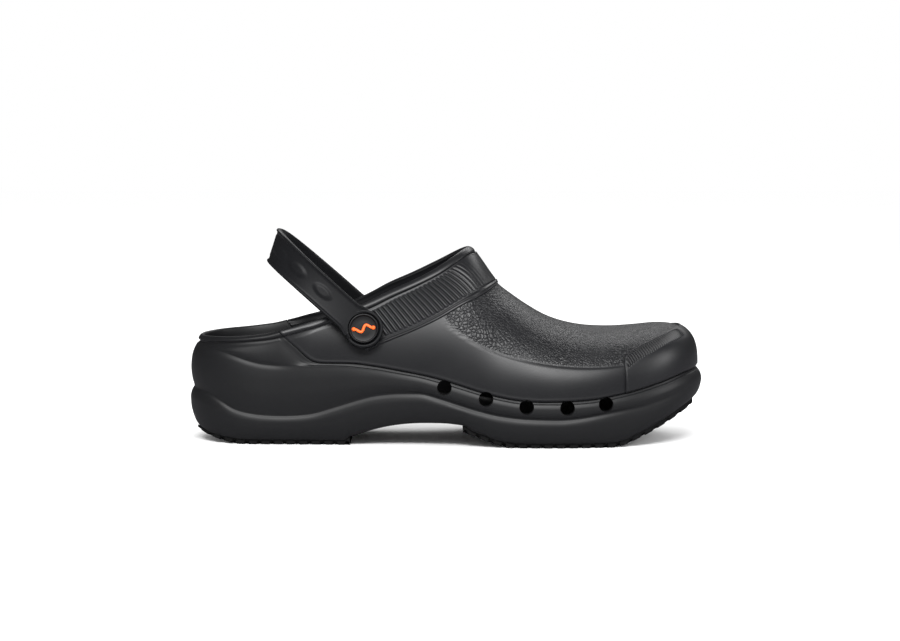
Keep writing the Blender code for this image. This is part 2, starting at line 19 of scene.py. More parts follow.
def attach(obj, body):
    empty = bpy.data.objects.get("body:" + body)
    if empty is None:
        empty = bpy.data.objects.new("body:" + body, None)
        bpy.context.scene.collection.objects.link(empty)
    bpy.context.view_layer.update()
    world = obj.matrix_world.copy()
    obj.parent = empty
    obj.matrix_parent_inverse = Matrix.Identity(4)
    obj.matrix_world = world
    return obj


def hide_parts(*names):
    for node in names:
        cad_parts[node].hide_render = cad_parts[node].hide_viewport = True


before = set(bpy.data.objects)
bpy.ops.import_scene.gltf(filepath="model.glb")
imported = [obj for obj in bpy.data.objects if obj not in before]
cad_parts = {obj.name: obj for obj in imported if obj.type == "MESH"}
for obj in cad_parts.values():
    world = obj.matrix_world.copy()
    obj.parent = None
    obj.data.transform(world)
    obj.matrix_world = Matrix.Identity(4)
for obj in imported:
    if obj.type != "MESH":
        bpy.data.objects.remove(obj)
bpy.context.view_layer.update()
print("packed nodes:", sorted(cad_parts))

# %% Units, and the move into the frame
LENGTH = 290.0
WIDTH_SHIFT = -1.5
MM = 0.001


def to_frame(points):
    """From millimetres in the shoe's own sizes to metres in the frame."""
    return (np.asarray(points, float) - (LENGTH / 2, WIDTH_SHIFT, 0)) * MM


# %% Small helpers
def smooth_step(low, high, value):
    """0 below low, 1 above high and an easy rise between them."""
    t = np.clip((value - low) / (high - low), 0, 1)
    return t * t * (3 - 2 * t)


def hump(value, centre, width):
    """1 where the value is at the centre, and a soft fall on both sides of it."""
    return np.exp(-((value - centre) / width) ** 2)


def unit(vectors):
    """The same directions, each of length 1."""
    return vectors / np.maximum(np.linalg.norm(vectors, axis=-1, keepdims=True), 1e-9)


def gone_along(points):
    """Distance along a line of points from the first one."""
    return np.concatenate(([0], np.cumsum(np.linalg.norm(np.diff(points, axis=0), axis=1))))


# %% [markdown]
# ## Lines drawn one by one
#
# A last, the form a shoe is built on, is described by a few lines: the outline from above, and
# from the side the underside, the parting line, the collar and the top. Each is a short table.
# Between its rows we read a curve that doesn't overshoot, and then soften it a little, because
# gloss shows every kink that a plan would hide.

# %% A table that is read as smooth lines
class Table:
    """Named columns over x, each read as a softened line through its rows."""

    fine = 0.5

    def __init__(self, soften, columns, *rows):
        names = columns.split()
        data = np.array(rows, float)
        self.low, self.high = data[0, 0], data[-1, 0]
        self.grid = np.arange(self.low, self.high + self.fine / 2, self.fine)
        self.lines = {}
        for k, name in enumerate(names[1:], 1):
            line = self.between(data[:, 0], data[:, k], self.grid)
            self.lines[name] = self.softened(line, soften)

    @staticmethod
    def between(x, y, at):
        """A curve through the rows with no bump of its own."""
        step = np.diff(y) / np.diff(x)
        both = step[:-1] * step[1:]
        total = np.where(np.abs(step[:-1] + step[1:]) < 1e-9, 1, step[:-1] + step[1:])
        slope = np.concatenate((step[:1], np.where(both > 0, 2 * both / total, 0), step[-1:]))
        k = np.clip(np.searchsorted(x, at, side="right") - 1, 0, len(x) - 2)
        width = x[k + 1] - x[k]
        t = (at - x[k]) / width
        return ((1 + 2 * t) * (1 - t) ** 2 * y[k] + t * (1 - t) ** 2 * width * slope[k]
                + t * t * (3 - 2 * t) * y[k + 1] + t * t * (t - 1) * width * slope[k + 1])

    def softened(self, line, soften):
        """The line averaged over a bell of the given half width, in millimetres."""
        if not soften:
            return line
        reach = int(3 * soften / self.fine)
        bell = np.exp(-0.5 * (np.arange(-reach, reach + 1) * self.fine / soften) ** 2)
        ends = np.arange(1, reach + 1)
        before = line[0] - (line[1] - line[0]) * ends[::-1]
        after = line[-1] + (line[-1] - line[-2]) * ends
        return np.convolve(np.concatenate((before, line, after)), bell / bell.sum(), "valid")

    def at(self, name, x):
        return np.interp(x, self.grid, self.lines[name])


# %% The tables of this shoe
HEEL_TIP, TOE_TIP, TOE_TIP_Y = 3.5, 286.6, 7.0
HEEL_ARC, LATERAL_ARC, MEDIAL_ARC = 45.0, 200.0, 222.0
ROUNDNESS = 2.3
RIM_BACK, BAND_FOOT = 52.5, 96.0
THROAT = 158.0

OUTLINE = Table(
    5.0, "x lateral medial",
    (HEEL_ARC, 35.5, 35.5),
    (70, 36.5, 35.4),
    (100, 38.5, 35.4),
    (130, 43.0, 37.5),
    (160, 48.4, 42.2),
    (185, 51.8, 46.4),
    (LATERAL_ARC, 52.5, 48.4),
    (MEDIAL_ARC, 52.5, 49.5))

SOLE = Table(
    1.6, "x underside crease upper_crease",
    (0, 8.9, 30.2, 54.0),
    (6, 8.1, 29.8, 53.8),
    (11.5, 7.0, 28.9, 53.2),
    (16.5, 6.4, 26.6, 52.5),
    (20.5, 5.8, 24.2, 51.7),
    (28, 5.2, 19.8, 49.4),
    (37, 4.9, 17.6, 46.5),
    (45, 4.8, 16.7, 44.9),
    (54, 4.8, 16.4, 44.3),
    (62, 4.8, 16.7, 44.2),
    (69, 4.8, 17.4, 44.2),
    (84, 4.8, 21.6, 44.1),
    (92, 5.0, 24.1, 43.8),
    (99, 7.2, 26.2, 43.1),
    (107, 9.6, 28.0, 42.2),
    (119, 12.0, 29.2, 40.2),
    (130, 13.0, 29.4, 38.4),
    (141.5, 13.2, 26.7, 35.6),
    (152.5, 12.4, 23.3, 32.5),
    (163.5, 9.8, 20.2, 29.3),
    (174.5, 5.9, 17.8, 26.6),
    (190, 4.8, 16.2, 24.4),
    (207, 4.8, 15.8, 24.3),
    (218, 4.8, 16.7, 24.7),
    (229, 4.9, 18.5, 25.8),
    (240, 5.3, 20.4, 27.8),
    (252, 9.6, 22.4, 30.4),
    (267, 16.4, 26.6, 34.4),
    (277, 21.6, 30.4, 37.6),
    (LENGTH, 27.0, 34.4, 39.8))

PARTING = Table(
    1.0, "x line",
    (RIM_BACK, 63.4), (57, 58.9), (61.3, 55.2), (65, 51.6), (69, 48.0),
    (72, 46.4), (77, 45.8), (91.6, 45.7), (107, 44.0), (119, 42.0),
    (136, 38.9), (150, 35.2), (161.5, 31.6), (173, 28.6), (185, 26.6),
    (198.5, 25.8), (210, 26.0), (222, 26.7), (230, 27.7), (244, 30.3),
    (252, 32.1), (264, 35.3), (278, 39.5), (LENGTH, 41.8))

FLOOR = Table(
    3.0, "x floor",
    (0, 26.0), (13, 25.8), (34, 25.5), (62, 25.2), (91, 24.0),
    (120, 20.6), (150, 16.4), (170, 14.0), (182, 12.9), (210, 12.4),
    (238, 14.0), (252, 17.0), (264, 21.4), (275, 25.6), (TOE_TIP, 29.0))

TREAD = Table(
    3.0, "x ground",
    (4, 7.0), (13, 3.4), (22, 1.3), (34, 0.0), (91, 0.0),
    (120, 4.0), (150, 8.6), (158, 6.9), (170, 2.4), (182, 0.0),
    (238, 0.0), (252, 4.8), (264, 10.4), (275, 16.2), (TOE_TIP, 22.0))

COLLAR = Table(
    1.5, "x rim",
    (0, 58.0), (12, 58.5), (28, 59.2), (45, 61.0), (RIM_BACK, 62.8),
    (60, 65.0), (73, 69.0), (90, 74.9), (BAND_FOOT, 77.2), (104, 81.0),
    (112, 85.3), (127, 92.0), (141, 99.0), (154, 106.4), (THROAT, 108.0),
    (165, 108.4), (181, 108.8), (205, 108.8))

BAND = Table(
    1.5, "x edge",
    (60, 20.0), (90, 38.0), (BAND_FOOT, 44.9), (104, 54.8), (112, 58.6),
    (127, 64.7), (141, 71.3), (154, 78.7), (165, 83.8), (173, 88.0),
    (181, 92.0), (205, 100.0))

TOP = Table(
    2.5, "x crown ridge fullness",
    (RIM_BACK, 98.0, 0.0, 1.95),
    (73, 100.0, 0.0, 1.9),
    (97, 102.0, 0.0, 1.87),
    (112, 104.0, 0.2, 1.85),
    (127, 107.0, 0.4, 1.85),
    (141, 110.0, 0.8, 1.85),
    (150, 110.6, 1.0, 1.85),
    (THROAT, 108.0, 1.3, 1.85),
    (165.5, 98.6, 1.7, 1.87),
    (173, 88.0, 2.1, 1.92),
    (181, 81.8, 2.6, 2.0),
    (192, 74.2, 3.3, 2.12),
    (203, 68.2, 4.0, 2.24),
    (215, 64.5, 4.8, 2.36),
    (226, 62.8, 5.5, 2.46),
    (237, 62.4, 6.1, 2.56),
    (249, 63.2, 6.6, 2.7),
    (262, 64.8, 7.0, 2.85),
    (TOE_TIP, 64.8, 7.0, 3.0))


# %% The outline from above
def edge(x, side):
    """y of the outline at x: side is -1 for the lateral side and 1 for the medial side."""
    name, arc = ("lateral", LATERAL_ARC) if side < 0 else ("medial", MEDIAL_ARC)
    heel = np.clip((HEEL_ARC - x) / (HEEL_ARC - HEEL_TIP), 0, 1)
    toe = np.clip((x - arc) / (TOE_TIP - arc), 0, 1)
    y = side * OUTLINE.at(name, x) * (1 - heel ** ROUNDNESS) ** (1 / ROUNDNESS)
    middle = TOE_TIP_Y * (toe > 0)
    return middle + (y - middle) * (1 - toe ** ROUNDNESS) ** (1 / ROUNDNESS)


for x in (45, 100, 200, 260):
    print("outline at x %d: %.1f to %.1f mm" % (x, edge(x, -1), edge(x, 1)))

# %% [markdown]
# ## From a grid to a skin
#
# Each skin starts as Blender's grid primitive. We move its points onto the surface, a row of
# points at a time, and merge the points that fall together, such as along the toe or where a
# wall folds over its edge. A skin that folds back on itself this way encloses a solid.

# %% A grid moved onto a surface
def deselect():
    if bpy.context.object and bpy.context.object.mode != "OBJECT":
        bpy.ops.object.mode_set(mode="OBJECT")
    bpy.ops.object.select_all(action="DESELECT")


def select_only(*pieces):
    """Select these pieces and no others. The first becomes the active one."""
    deselect()
    for piece in pieces:
        piece.select_set(True)
    bpy.context.view_layer.objects.active = pieces[0]


def make_skin(name, points, marks=None, caps=False, merge=0.02):
    """A closed skin from rows and columns of points in millimetres, with marks to shade by."""
    rows, columns = points.shape[:2]
    deselect()
    bpy.ops.mesh.primitive_grid_add(x_subdivisions=columns - 1, y_subdivisions=rows - 1, size=1)
    piece = bpy.context.object
    piece.name = piece.data.name = name
    piece.data.vertices.foreach_set("co", to_frame(points).ravel())
    for mark, values in (marks or {}).items():
        layer = piece.data.attributes.new(mark, "FLOAT", "POINT")
        layer.data.foreach_set("value", np.ascontiguousarray(values, float).ravel())
    bpy.ops.object.mode_set(mode="EDIT")
    bpy.ops.mesh.select_all(action="SELECT")
    bpy.ops.mesh.remove_doubles(threshold=merge * MM)
    if caps:
        bpy.ops.mesh.fill_holes(sides=0)
    bpy.ops.mesh.normals_make_consistent(inside=False)
    bpy.ops.object.mode_set(mode="OBJECT")
    bpy.ops.object.shade_smooth()
    print(name, len(piece.data.polygons), "faces")
    return piece


def directions(points):
    """Direction square to the surface at each point of a grid."""
    return unit(np.cross(np.gradient(points, axis=0), np.gradient(points, axis=1)))


def outward(points, row=5, column=5):
    """Directions out of the shoe, told by one point that lies on its lateral side."""
    out = directions(points)
    return -out if out[row, column, 1] > 0 else out


# %% [markdown]
# ## The upper's form
#
# The upper is a set of arches. Each arch has its feet on the parting line and its top on the
# crown, and its fullness says how square its shoulders are. Towards the toe the arches fan out,
# so that the last one runs down the middle of the toe.

# %% One arch after another
FAN_START, FAN_REACH = 205.0, 24.6


def arch(x, lift, side):
    """Points of the upper's plain form: x of the foot, and degrees up the arch."""
    part = np.clip((x - FAN_START) / (TOE_TIP - FAN_START), 0, None)
    top_x = x - FAN_REACH * part ** 2
    power = 2 / TOP.at("fullness", x)
    out = np.clip(np.cos(np.radians(lift)), 0, 1) ** power
    up = np.clip(np.sin(np.radians(lift)), 0, 1) ** power
    ridge, foot_z = TOP.at("ridge", top_x), PARTING.at("line", x)
    return np.stack((
        top_x + (x - top_x) * out,
        ridge + (edge(x, side) - ridge) * out,
        foot_z + (TOP.at("crown", top_x) - foot_z) * up), axis=-1)


def meet(lift, side, line):
    """x where each lengthwise line of the upper meets a line of the collar."""
    back, front = np.full_like(lift, RIM_BACK), np.full_like(lift, FAN_START)
    for _ in range(40):
        middle = (back + front) / 2
        above = arch(middle, lift, side)[..., 2] > line(middle, side)
        back, front = np.where(above, middle, back), np.where(above, front, middle)
    return (back + front) / 2


ROLL = 3.5              # width of the rolled edge of the collar
RIM_LEAN = (-1.1, 0.7)  # how much lower and higher the rim runs on the lateral and medial side


def rim_line(x, side):
    lean = smooth_step(85, 115, x) * smooth_step(157, 135, x)
    return COLLAR.at("rim", x) + RIM_LEAN[side > 0] * lean


def band_line(x, side):
    return BAND.at("edge", x)


def roll_width(x):
    """The roll is narrow round the heel and full at the instep."""
    return 2.0 + (ROLL - 2.0) * smooth_step(34, 72, x)


def roll_line(x, side):
    """Lower edge of the collar's roll, its width from the rim along the wall."""
    slope = (rim_line(x + 1, side) - rim_line(x - 1, side)) / 2
    return rim_line(x, side) - roll_width(x) * np.sqrt(1 + np.where(x < THROAT, slope, 0) ** 2)


def roll_share(x, z, side):
    """How far up the roll a height lies: 0 at its foot, 1 at the rim."""
    return np.clip((z - roll_line(x, side)) / (rim_line(x, side) - roll_line(x, side)), 0, 1)


def roll_height(share):
    """Height of the roll over the wall, from its foot at 0 to the rim at 1."""
    share = np.clip(share, 0, 1)
    rise = np.sqrt(np.clip(1 - (1 - share / 0.45) ** 2, 0, 1))
    return 1.05 * np.where(share < 0.45, rise, 1 - 0.5 * ((share - 0.45) / 0.55) ** 2)


# %% [markdown]
# ## Upper shell
#
# Its grid goes from the toe back to the collar. Across, it runs from the lateral foot over the
# top to the medial foot, and returns along the inside of the wall. Extra rows turn over the rim,
# where outside and inside meet. One hairline seam stays open inside the toe, out of sight.

# %% Rows and columns of the shell
WALL = 3.5
FOOT_LIFTS = np.array((0.0, 0.25, 0.6, 1.0, 1.5, 2.2, 3.0, 4.0))
UP_LIFTS = np.linspace(5.0, 90.0, 74)
LIFTS = np.concatenate((FOOT_LIFTS, UP_LIFTS))
SIDES = np.concatenate((np.full(len(LIFTS), -1), np.full(len(LIFTS) - 1, 1)))
ALL_LIFTS = np.concatenate((LIFTS, LIFTS[-2::-1]))
ROLL_SHARES = np.array((0.02, 0.06, 0.12, 0.2, 0.3, 0.4, 0.5, 0.62, 0.75, 0.88, 1.0))


def each_side(line, *at):
    """A line of the collar, read for each column on the side where it runs."""
    return np.where(SIDES < 0, line(*at, -1), line(*at, 1))


def both(lift, line):
    """Where a collar line meets the lengthwise lines of both sides."""
    return np.where(SIDES < 0, meet(lift, -1, line), meet(lift, 1, line))


def shell_feet(lift):
    """x of the foot of every row, and how far the row lies up the roll."""
    band, roll, rim = both(lift, band_line), both(lift, roll_line), both(lift, rim_line)
    fan = TOE_TIP - (TOE_TIP - FAN_START) * (1 - np.cos(np.linspace(0, math.pi / 2, 56)))
    rows = [np.full_like(lift, x) for x in fan]
    for start, end, count in ((FAN_START, band, 44), (band, roll, 36)):
        rows += [start + (end - start) * k / count for k in range(1, count + 1)]
    shares = np.concatenate((np.zeros(len(rows)), ROLL_SHARES))
    rows += [roll + (rim - roll) * share for share in ROLL_SHARES]
    return np.array(rows), shares[:, None]


def both_sides(x, lift):
    """Arch points for columns that run over both sides."""
    lateral, medial = arch(x, lift, -1), arch(x, lift, 1)
    return np.where((SIDES < 0)[None, :, None], lateral, medial)


feet, up_roll = shell_feet(ALL_LIFTS)
lifts = np.broadcast_to(ALL_LIFTS, feet.shape)
plain = both_sides(feet, lifts)
out = outward(plain, 60, 0)
roll_start = both(ALL_LIFTS, roll_line)
by_height = each_side(roll_share, feet, plain[..., 2])
up_roll = np.where(roll_start <= RIM_BACK + 0.01, by_height, up_roll)
print("shell rows and columns:", feet.shape)

# %% [markdown]
# The panel on top of the vamp is grained like hide. Its outline is a fine groove, drawn from the
# side. A mark on each point says how far it lies above that line, so that the material can grain
# the panel only, and the groove itself is pressed into the mesh.

# %% Panel, roll and parting edge
PANEL = Table(
    2.0, "x edge",
    (120, 95.0), (132, 83.0), (145.8, 68.9), (151.7, 63.7), (159.5, 58.9),
    (169.3, 54.1), (181, 50.2), (194.7, 47.2), (208.4, 45.3), (222, 44.5),
    (234, 44.7), (241, 45.4), (LENGTH, 45.4))
above_panel = plain[..., 2] - PANEL.at("edge", plain[..., 0])
band_z = each_side(band_line, plain[..., 0])
in_panel = smooth_step(0.0, 1.2, above_panel) * smooth_step(126, 140, plain[..., 0])
in_panel = in_panel * (plain[..., 2] < band_z + 0.5)
groove = hump(above_panel, 0, 0.7) * smooth_step(143, 148, plain[..., 0])
groove = groove * smooth_step(245, 242, plain[..., 0])

steps = np.linalg.norm(np.diff(plain, axis=1), axis=2)
left = np.concatenate((np.zeros((len(steps), 1)), np.cumsum(steps, axis=1)), axis=1)
from_foot = np.minimum(left, left[:, -1:] - left)
foot_round = -0.5 * np.exp(-from_foot / 0.3) + 0.25 * hump(from_foot, 1.0, 0.55)
foot_round = foot_round * (0.3 + 0.7 * smooth_step(58, 70, feet))
over_roll_foot = plain[..., 2] - each_side(roll_line, feet)
under_roll = hump(over_roll_foot, -0.7, 0.6) * (up_roll == 0)
height = roll_height(up_roll) + foot_round - 0.45 * groove - 0.35 * under_roll


# %% Fold the shell over its rim and close it
def fold_rim(outside, inside, tip_share, rows=6):
    """Rows that turn from the outside of a wall to its inside over the rim."""
    forward = unit(outside[-1] - outside[-3])
    middle, half = (outside[-1] + inside[-1]) / 2, (outside[-1] - inside[-1]) / 2
    reach = np.linalg.norm(half, axis=1, keepdims=True)
    outer_rows, inner_rows = [], []
    for k in range(1, rows + 1):
        turn = math.pi / 2 * k / rows
        tip = forward * reach * tip_share[:, None] * math.sin(turn) * 0.8
        outer_rows.append(middle + half * math.cos(turn) + tip)
        inner_rows.append(middle - half * math.cos(turn) + tip)
    return (np.concatenate((outside, np.array(outer_rows))),
            np.concatenate((inside, np.array(inner_rows))))


outside = plain + out * height[..., None]
level_out = out.copy()
level_out[:, (0, -1), 2] = 0
level_out /= np.linalg.norm(level_out, axis=2, keepdims=True)
thin = smooth_step(0, 1, up_roll) * 1.3
inside = plain - level_out * (WALL - thin)[..., None]
rim_x = both(ALL_LIFTS, rim_line)
outside, inside = fold_rim(outside, inside, smooth_step(RIM_BACK - 0.2, RIM_BACK + 1.2, rim_x))
shell_points = np.concatenate((outside, inside[:, ::-1], outside[:, :1]), axis=1)


def padded(mark, fill=0.0):
    """A mark of the outside, held on over the rim rows, and a plain value for the inside."""
    mark = np.broadcast_to(mark, plain.shape[:2])
    mark = np.concatenate((mark, np.repeat(mark[-1:], len(outside) - len(mark), axis=0)))
    rest = np.full_like(mark, fill)
    return np.concatenate((mark, rest, mark[:, :1]), axis=1)


fineness = smooth_step(165, 215, plain[..., 0])
marks = {"grain": padded(in_panel), "fineness": padded(fineness)}
upper = make_skin("upper_shell", shell_points, marks)

# %% [markdown]
# ## Sole unit
#
# The sole unit is a tub. Its rings follow the outline from the underside up the outer wall, over
# the top edge and down inside to the floor. Two creases run along its side, and between them the
# foam swells. The first and last rings shrink onto the middle line and so close the solid.

# %% Rings of the sole unit
def spread_cosine(start, end, count):
    """Stations that lie closer and closer towards start, for a round end."""
    return start + (end - start) * (1 - np.cos(np.linspace(0, math.pi / 2, count)))


stations = np.concatenate((
    spread_cosine(TOE_TIP, 225, 60), np.arange(224, 53, -1.0),
    (53.2, 52.8, 52.56, 52.44, 52.2, 51.8),  # close together where the upper's rim takes over
    np.arange(51, 40, -1.0), spread_cosine(HEEL_TIP, 40, 46)[::-1]))
ring_x = np.concatenate((stations, stations[-2::-1]))
ring_y = np.concatenate((edge(stations, -1), edge(stations[-2::-1], 1)))
ring = np.stack((ring_x, ring_y, np.zeros_like(ring_x)), axis=1)
ahead = np.roll(ring[:-1], -1, axis=0) - np.roll(ring[:-1], 1, axis=0)
ring_out = np.stack((ahead[:, 1], -ahead[:, 0], np.zeros(len(ahead))), axis=1)
ring_out = unit(np.concatenate((ring_out, ring_out[:1])))
if ring_out[0, 0] < 0:
    ring_out = -ring_out
print("outline points:", len(ring))

# %% Side rows: how far each stands out at heel, side and toe
SOLE_GAP = 0.35
SIDE_ROWS = (  # from, to, then rows of: part of the way, out at heel, at side and at toe
    ("underside", "crease", (
        (0.0, -1.6, -1.6, -2.0), (0.06, -0.4, -0.7, -0.9), (0.2, 1.2, 0.5, 0.7),
        (0.5, 3.0, 1.7, 2.2), (0.72, 3.3, 1.9, 2.8), (0.88, 2.6, 1.5, 3.1),
        (1.0, 1.5, 0.95, 3.3))),
    ("crease", "upper_crease", (
        (0.06, 1.5, 0.95, 3.3), (0.2, 2.3, 1.6, 3.2), (0.45, 2.9, 2.3, 2.9),
        (0.72, 2.3, 2.1, 2.2), (0.88, 1.1, 1.7, 1.5), (0.97, 0.0, 1.35, 1.05),
        (1.0, -0.5, 1.25, 0.95))),
    ("upper_crease", "roll_foot", (
        (0.08, -0.7, 1.2, 0.9), (0.3, -1.0, 0.95, 0.75), (0.7, -1.5, 0.6, 0.5),
        (1.0, -1.9, 0.4, 0.35))),
    ("roll_foot", "top", (
        (0.15, -2.1, 0.3, 0.3), (0.28, -2.2, 0.2, 0.2), (0.42, -2.3, 0.12, 0.12),
        (0.6, -2.4, 0.05, 0.05), (0.8, -2.5, 0.0, 0.0), (0.93, -2.5, -0.1, -0.1),
        (1.0, -2.5, -0.4, -0.4))))


def plate_sink(x):
    """How far the foam reaches down round the rubber plates."""
    over_plates = smooth_step(91.5, 88, x) + smooth_step(154, 160, x)
    return 0.42 * over_plates * (SOLE.at("underside", x) - TREAD.at("ground", x))


def sole_line(name, x):
    if name == "underside":
        return SOLE.at("underside", x) - plate_sink(x)
    if name == "top":
        parting = np.where(x < RIM_BACK, 200.0, PARTING.at("line", x) - SOLE_GAP)
        return np.minimum(COLLAR.at("rim", x), parting)
    if name == "roll_foot":
        top, crease = sole_line("top", x), SOLE.at("upper_crease", x)
        return np.maximum(top - 5.2, crease + 0.3 * (top - crease))
    return SOLE.at(name, x)


def by_place(x, heel, side, toe):
    """A size that changes from heel to side to toe."""
    back = np.sin(math.pi / 2 * np.clip((x - HEEL_TIP) / (HEEL_ARC - HEEL_TIP), 0, 1))
    front = np.clip((x - FAN_START) / (TOE_TIP - FAN_START), 0, 1) ** 2
    return heel + (side - heel) * back + (toe - side) * front


def finer(rows, count=4):
    """Rows between the rows, on a curve that doesn't overshoot."""
    rows = np.array(rows)
    spots = np.arange(len(rows), dtype=float)
    at = np.linspace(0, len(rows) - 1, (len(rows) - 1) * count + 1)
    flat = rows.reshape(len(rows), -1)
    lines = [Table.between(spots, flat[:, k], at) for k in range(flat.shape[1])]
    return np.array(lines).T.reshape((len(at),) + rows.shape[1:])


def sole_ring(offset, height):
    """The outline moved out by offset, at a height: either may change along the shoe."""
    points = ring + ring_out * np.broadcast_to(offset, ring_x.shape)[:, None]
    points[:, 2] = height
    return points


def rings_over_floor(*places):
    """Rings set in from the wall and raised over the floor, both in millimetres."""
    return [sole_ring(-WALL - inset, floor_z + up) for inset, up in places]


floor_z = FLOOR.at("floor", ring_x)
side_rings = []
for start, end, rows in SIDE_ROWS:
    low, high = sole_line(start, ring_x), sole_line(end, ring_x)
    for part, *stands_out in rows:
        side_rings.append(sole_ring(by_place(ring_x, *stands_out), low + (high - low) * part))
side_rings = finer(side_rings)
below_rim = COLLAR.at("rim", ring_x) - side_rings[..., 2]
on_heel = smooth_step(RIM_BACK + 12, RIM_BACK + 4, ring_x)
roll_here = roll_width(ring_x)
relief = roll_height(1 - below_rim / (roll_here * 1.02))
relief = relief - 0.35 * hump(below_rim - roll_here, 0.7, 0.6)
from_crease = side_rings[..., 2] - SOLE.at("upper_crease", ring_x)
fold = hump(from_crease, 0, 1.5) * smooth_step(62, 46, ring_x) * smooth_step(4, 12, ring_x)
from_low = side_rings[..., 2] - SOLE.at("crease", ring_x)
low_fold = hump(from_low, 0, 1.2) * smooth_step(262, 235, ring_x)
pillow_top = sole_line("roll_foot", ring_x)
pillow = np.clip(from_crease / np.maximum(pillow_top - SOLE.at("upper_crease", ring_x), 0.5), 0, 1)
pillow = np.sin(math.pi * pillow) * smooth_step(64, 50, ring_x) * smooth_step(6, 26, ring_x)
relief = relief * on_heel - 0.5 * fold - 0.35 * low_fold + 0.6 * pillow
side_rings = side_rings + ring_out * relief[..., None]

top_z = sole_line("top", ring_x)
set_in = by_place(ring_x, -2.5, 0.0, 0.0)
behind = ring_x < RIM_BACK
rise = 0.35 + 0.65 * behind
inner_rings = [
    sole_ring(set_in - 0.3 + 0.5 * behind, top_z + 0.45 * rise),
    sole_ring(set_in - 0.7 + 0.3 * behind, top_z + 0.8 * rise),
    sole_ring(set_in - 1.3, top_z + rise),
    sole_ring(set_in - 1.9, top_z + 0.6 * rise),
    sole_ring(set_in - 2.3, top_z - 0.4),
    sole_ring(set_in * 0.5 - 3.0, top_z - 3.0),
    sole_ring(-WALL - 0.2, floor_z * 0.4 + top_z * 0.6)]
inner_rings += rings_over_floor((0.6, 5), (1.4, 2.4), (3.0, 0.7), (5.0, 0))


def middle_ring(first, share):
    """A ring drawn towards the middle line, all the way at share 1."""
    middle = (first + first[::-1]) / 2
    return first + (middle - first) * share


def closed_from(first, shares=(0.25, 0.5, 0.75, 1.0)):
    return [middle_ring(first, share) for share in shares]


underside = closed_from(side_rings[0])[::-1]
footbed_floor = closed_from(inner_rings[-1])
sole_points = np.concatenate((underside, side_rings, inner_rings, footbed_floor))
sole = make_skin("sole_unit", sole_points)

# %% [markdown]
# ## Collar band
#
# A ribbed band runs round the collar from rivet to rivet, so that the foam bends there and holds
# its edge. We lay it as a strip of its own. Its ribs go from the rolled rim to a fine lip, and the
# strip is drawn so that its columns already run along the ribs. Heights over the plain form then
# make the ribs, their round ends, the groove and the lip.

# %% Two lines that carry the band
RIB_PITCH = 2.7
RIB_HEIGHT = 1.2


def line_points(line, side, start):
    """x, lift and distance along a collar line, from x start to the middle of the throat."""
    lift = np.linspace(0, 90, 1801)
    x = meet(lift, side, line)
    keep = x >= start
    x, lift = x[keep], lift[keep]
    return x, lift, gone_along(arch(x, lift, side))


def band_top(x, side):
    return roll_line(x, side) - 0.15


def band_foot(x, side):
    """Lower edge of the band: straight on behind the rivet, where the strap's eye hides it."""
    return np.where(x < 104, BAND.at("edge", 104) - (104 - x) * 0.48, BAND.at("edge", x)) - 1.0


def band_grid(side, columns, rows):
    """x and lift over the band, from the rivet to the middle, and the length of its top line."""
    share = np.linspace(0, 1, columns)
    top = line_points(band_top, side, 89.0)
    foot = line_points(band_foot, side, 101.0)
    across = rows[:, None]
    x, lift = ((1 - across) * np.interp(share, top[2] / top[2][-1], top[k])
               + across * np.interp(share, foot[2] / foot[2][-1], foot[k]) for k in (0, 1))
    return x, lift, (top[2][-1] + foot[2][-1]) / 2


band_rows = np.concatenate((
    np.linspace(0, 0.2, 9), np.linspace(0.225, 0.8, 14), np.linspace(0.825, 1, 15)))
columns = 420
lateral_x, lateral_lift, band_length = band_grid(-1, columns, band_rows)
medial_x, medial_lift, _ = band_grid(1, columns, band_rows)
band_plain = np.concatenate((
    arch(lateral_x, lateral_lift, -1), arch(medial_x, medial_lift, 1)[:, -2::-1]), axis=1)
print("band half length %.1f mm, columns every %.2f mm" % (band_length, band_length / columns))

# %% Ribs, lip and edges of the band
band_out = outward(band_plain)
lengths = gone_along(band_plain[15])
middle = lengths[columns - 1]
from_middle = np.abs(lengths - middle)[None, :]
width = np.linalg.norm(np.diff(band_plain, axis=0), axis=2).sum(axis=0)[None, :]
down = band_rows[:, None] * width                 # distance from the top edge
rising = width - down                             # distance from the lower edge
rib_wave = 2 * np.abs(np.sin(math.pi * from_middle / RIB_PITCH)) ** 0.8 - 1
rib_zone = smooth_step(2.0, 3.4, down) * smooth_step(3.1, 4.0, rising)
rib_zone = rib_zone * smooth_step(20, 46, from_middle)
band_height = (0.95 + rib_zone * (0.5 * RIB_HEIGHT * rib_wave - 0.22)
               - 0.3 * hump(rising, 2.75, 0.42) + 0.3 * hump(rising, 1.75, 0.5)
               - 0.22 * hump(rising, 1.0, 0.3) + 0.22 * hump(down, 0.55, 0.35))
band_height = band_height * smooth_step(-0.25, 0.5, rising) * smooth_step(-0.2, 0.45, down)
band_height = band_height - 0.35 * (1 - smooth_step(0.0, 0.4, rising))
ends = np.minimum(lengths, lengths[-1] - lengths)[None, :]
band_height = band_height * smooth_step(-0.2, 1.2, ends)
band_over = band_plain + band_out * band_height[..., None]
band_under = band_plain - band_out * 0.6
band_points = np.concatenate((band_over, band_under[[-1, 18, 0]], band_over[:1]))
collar = make_skin("collar_band", band_points, caps=True)

# %% [markdown]
# ## Toe cap
#
# The toe cap is a second, slightly thicker skin over the front of the shell. Its top edge climbs
# from the panel's line to the top of the toe, and under that edge runs a belt of fine slanting
# ribs. It is laid the same way as the band.

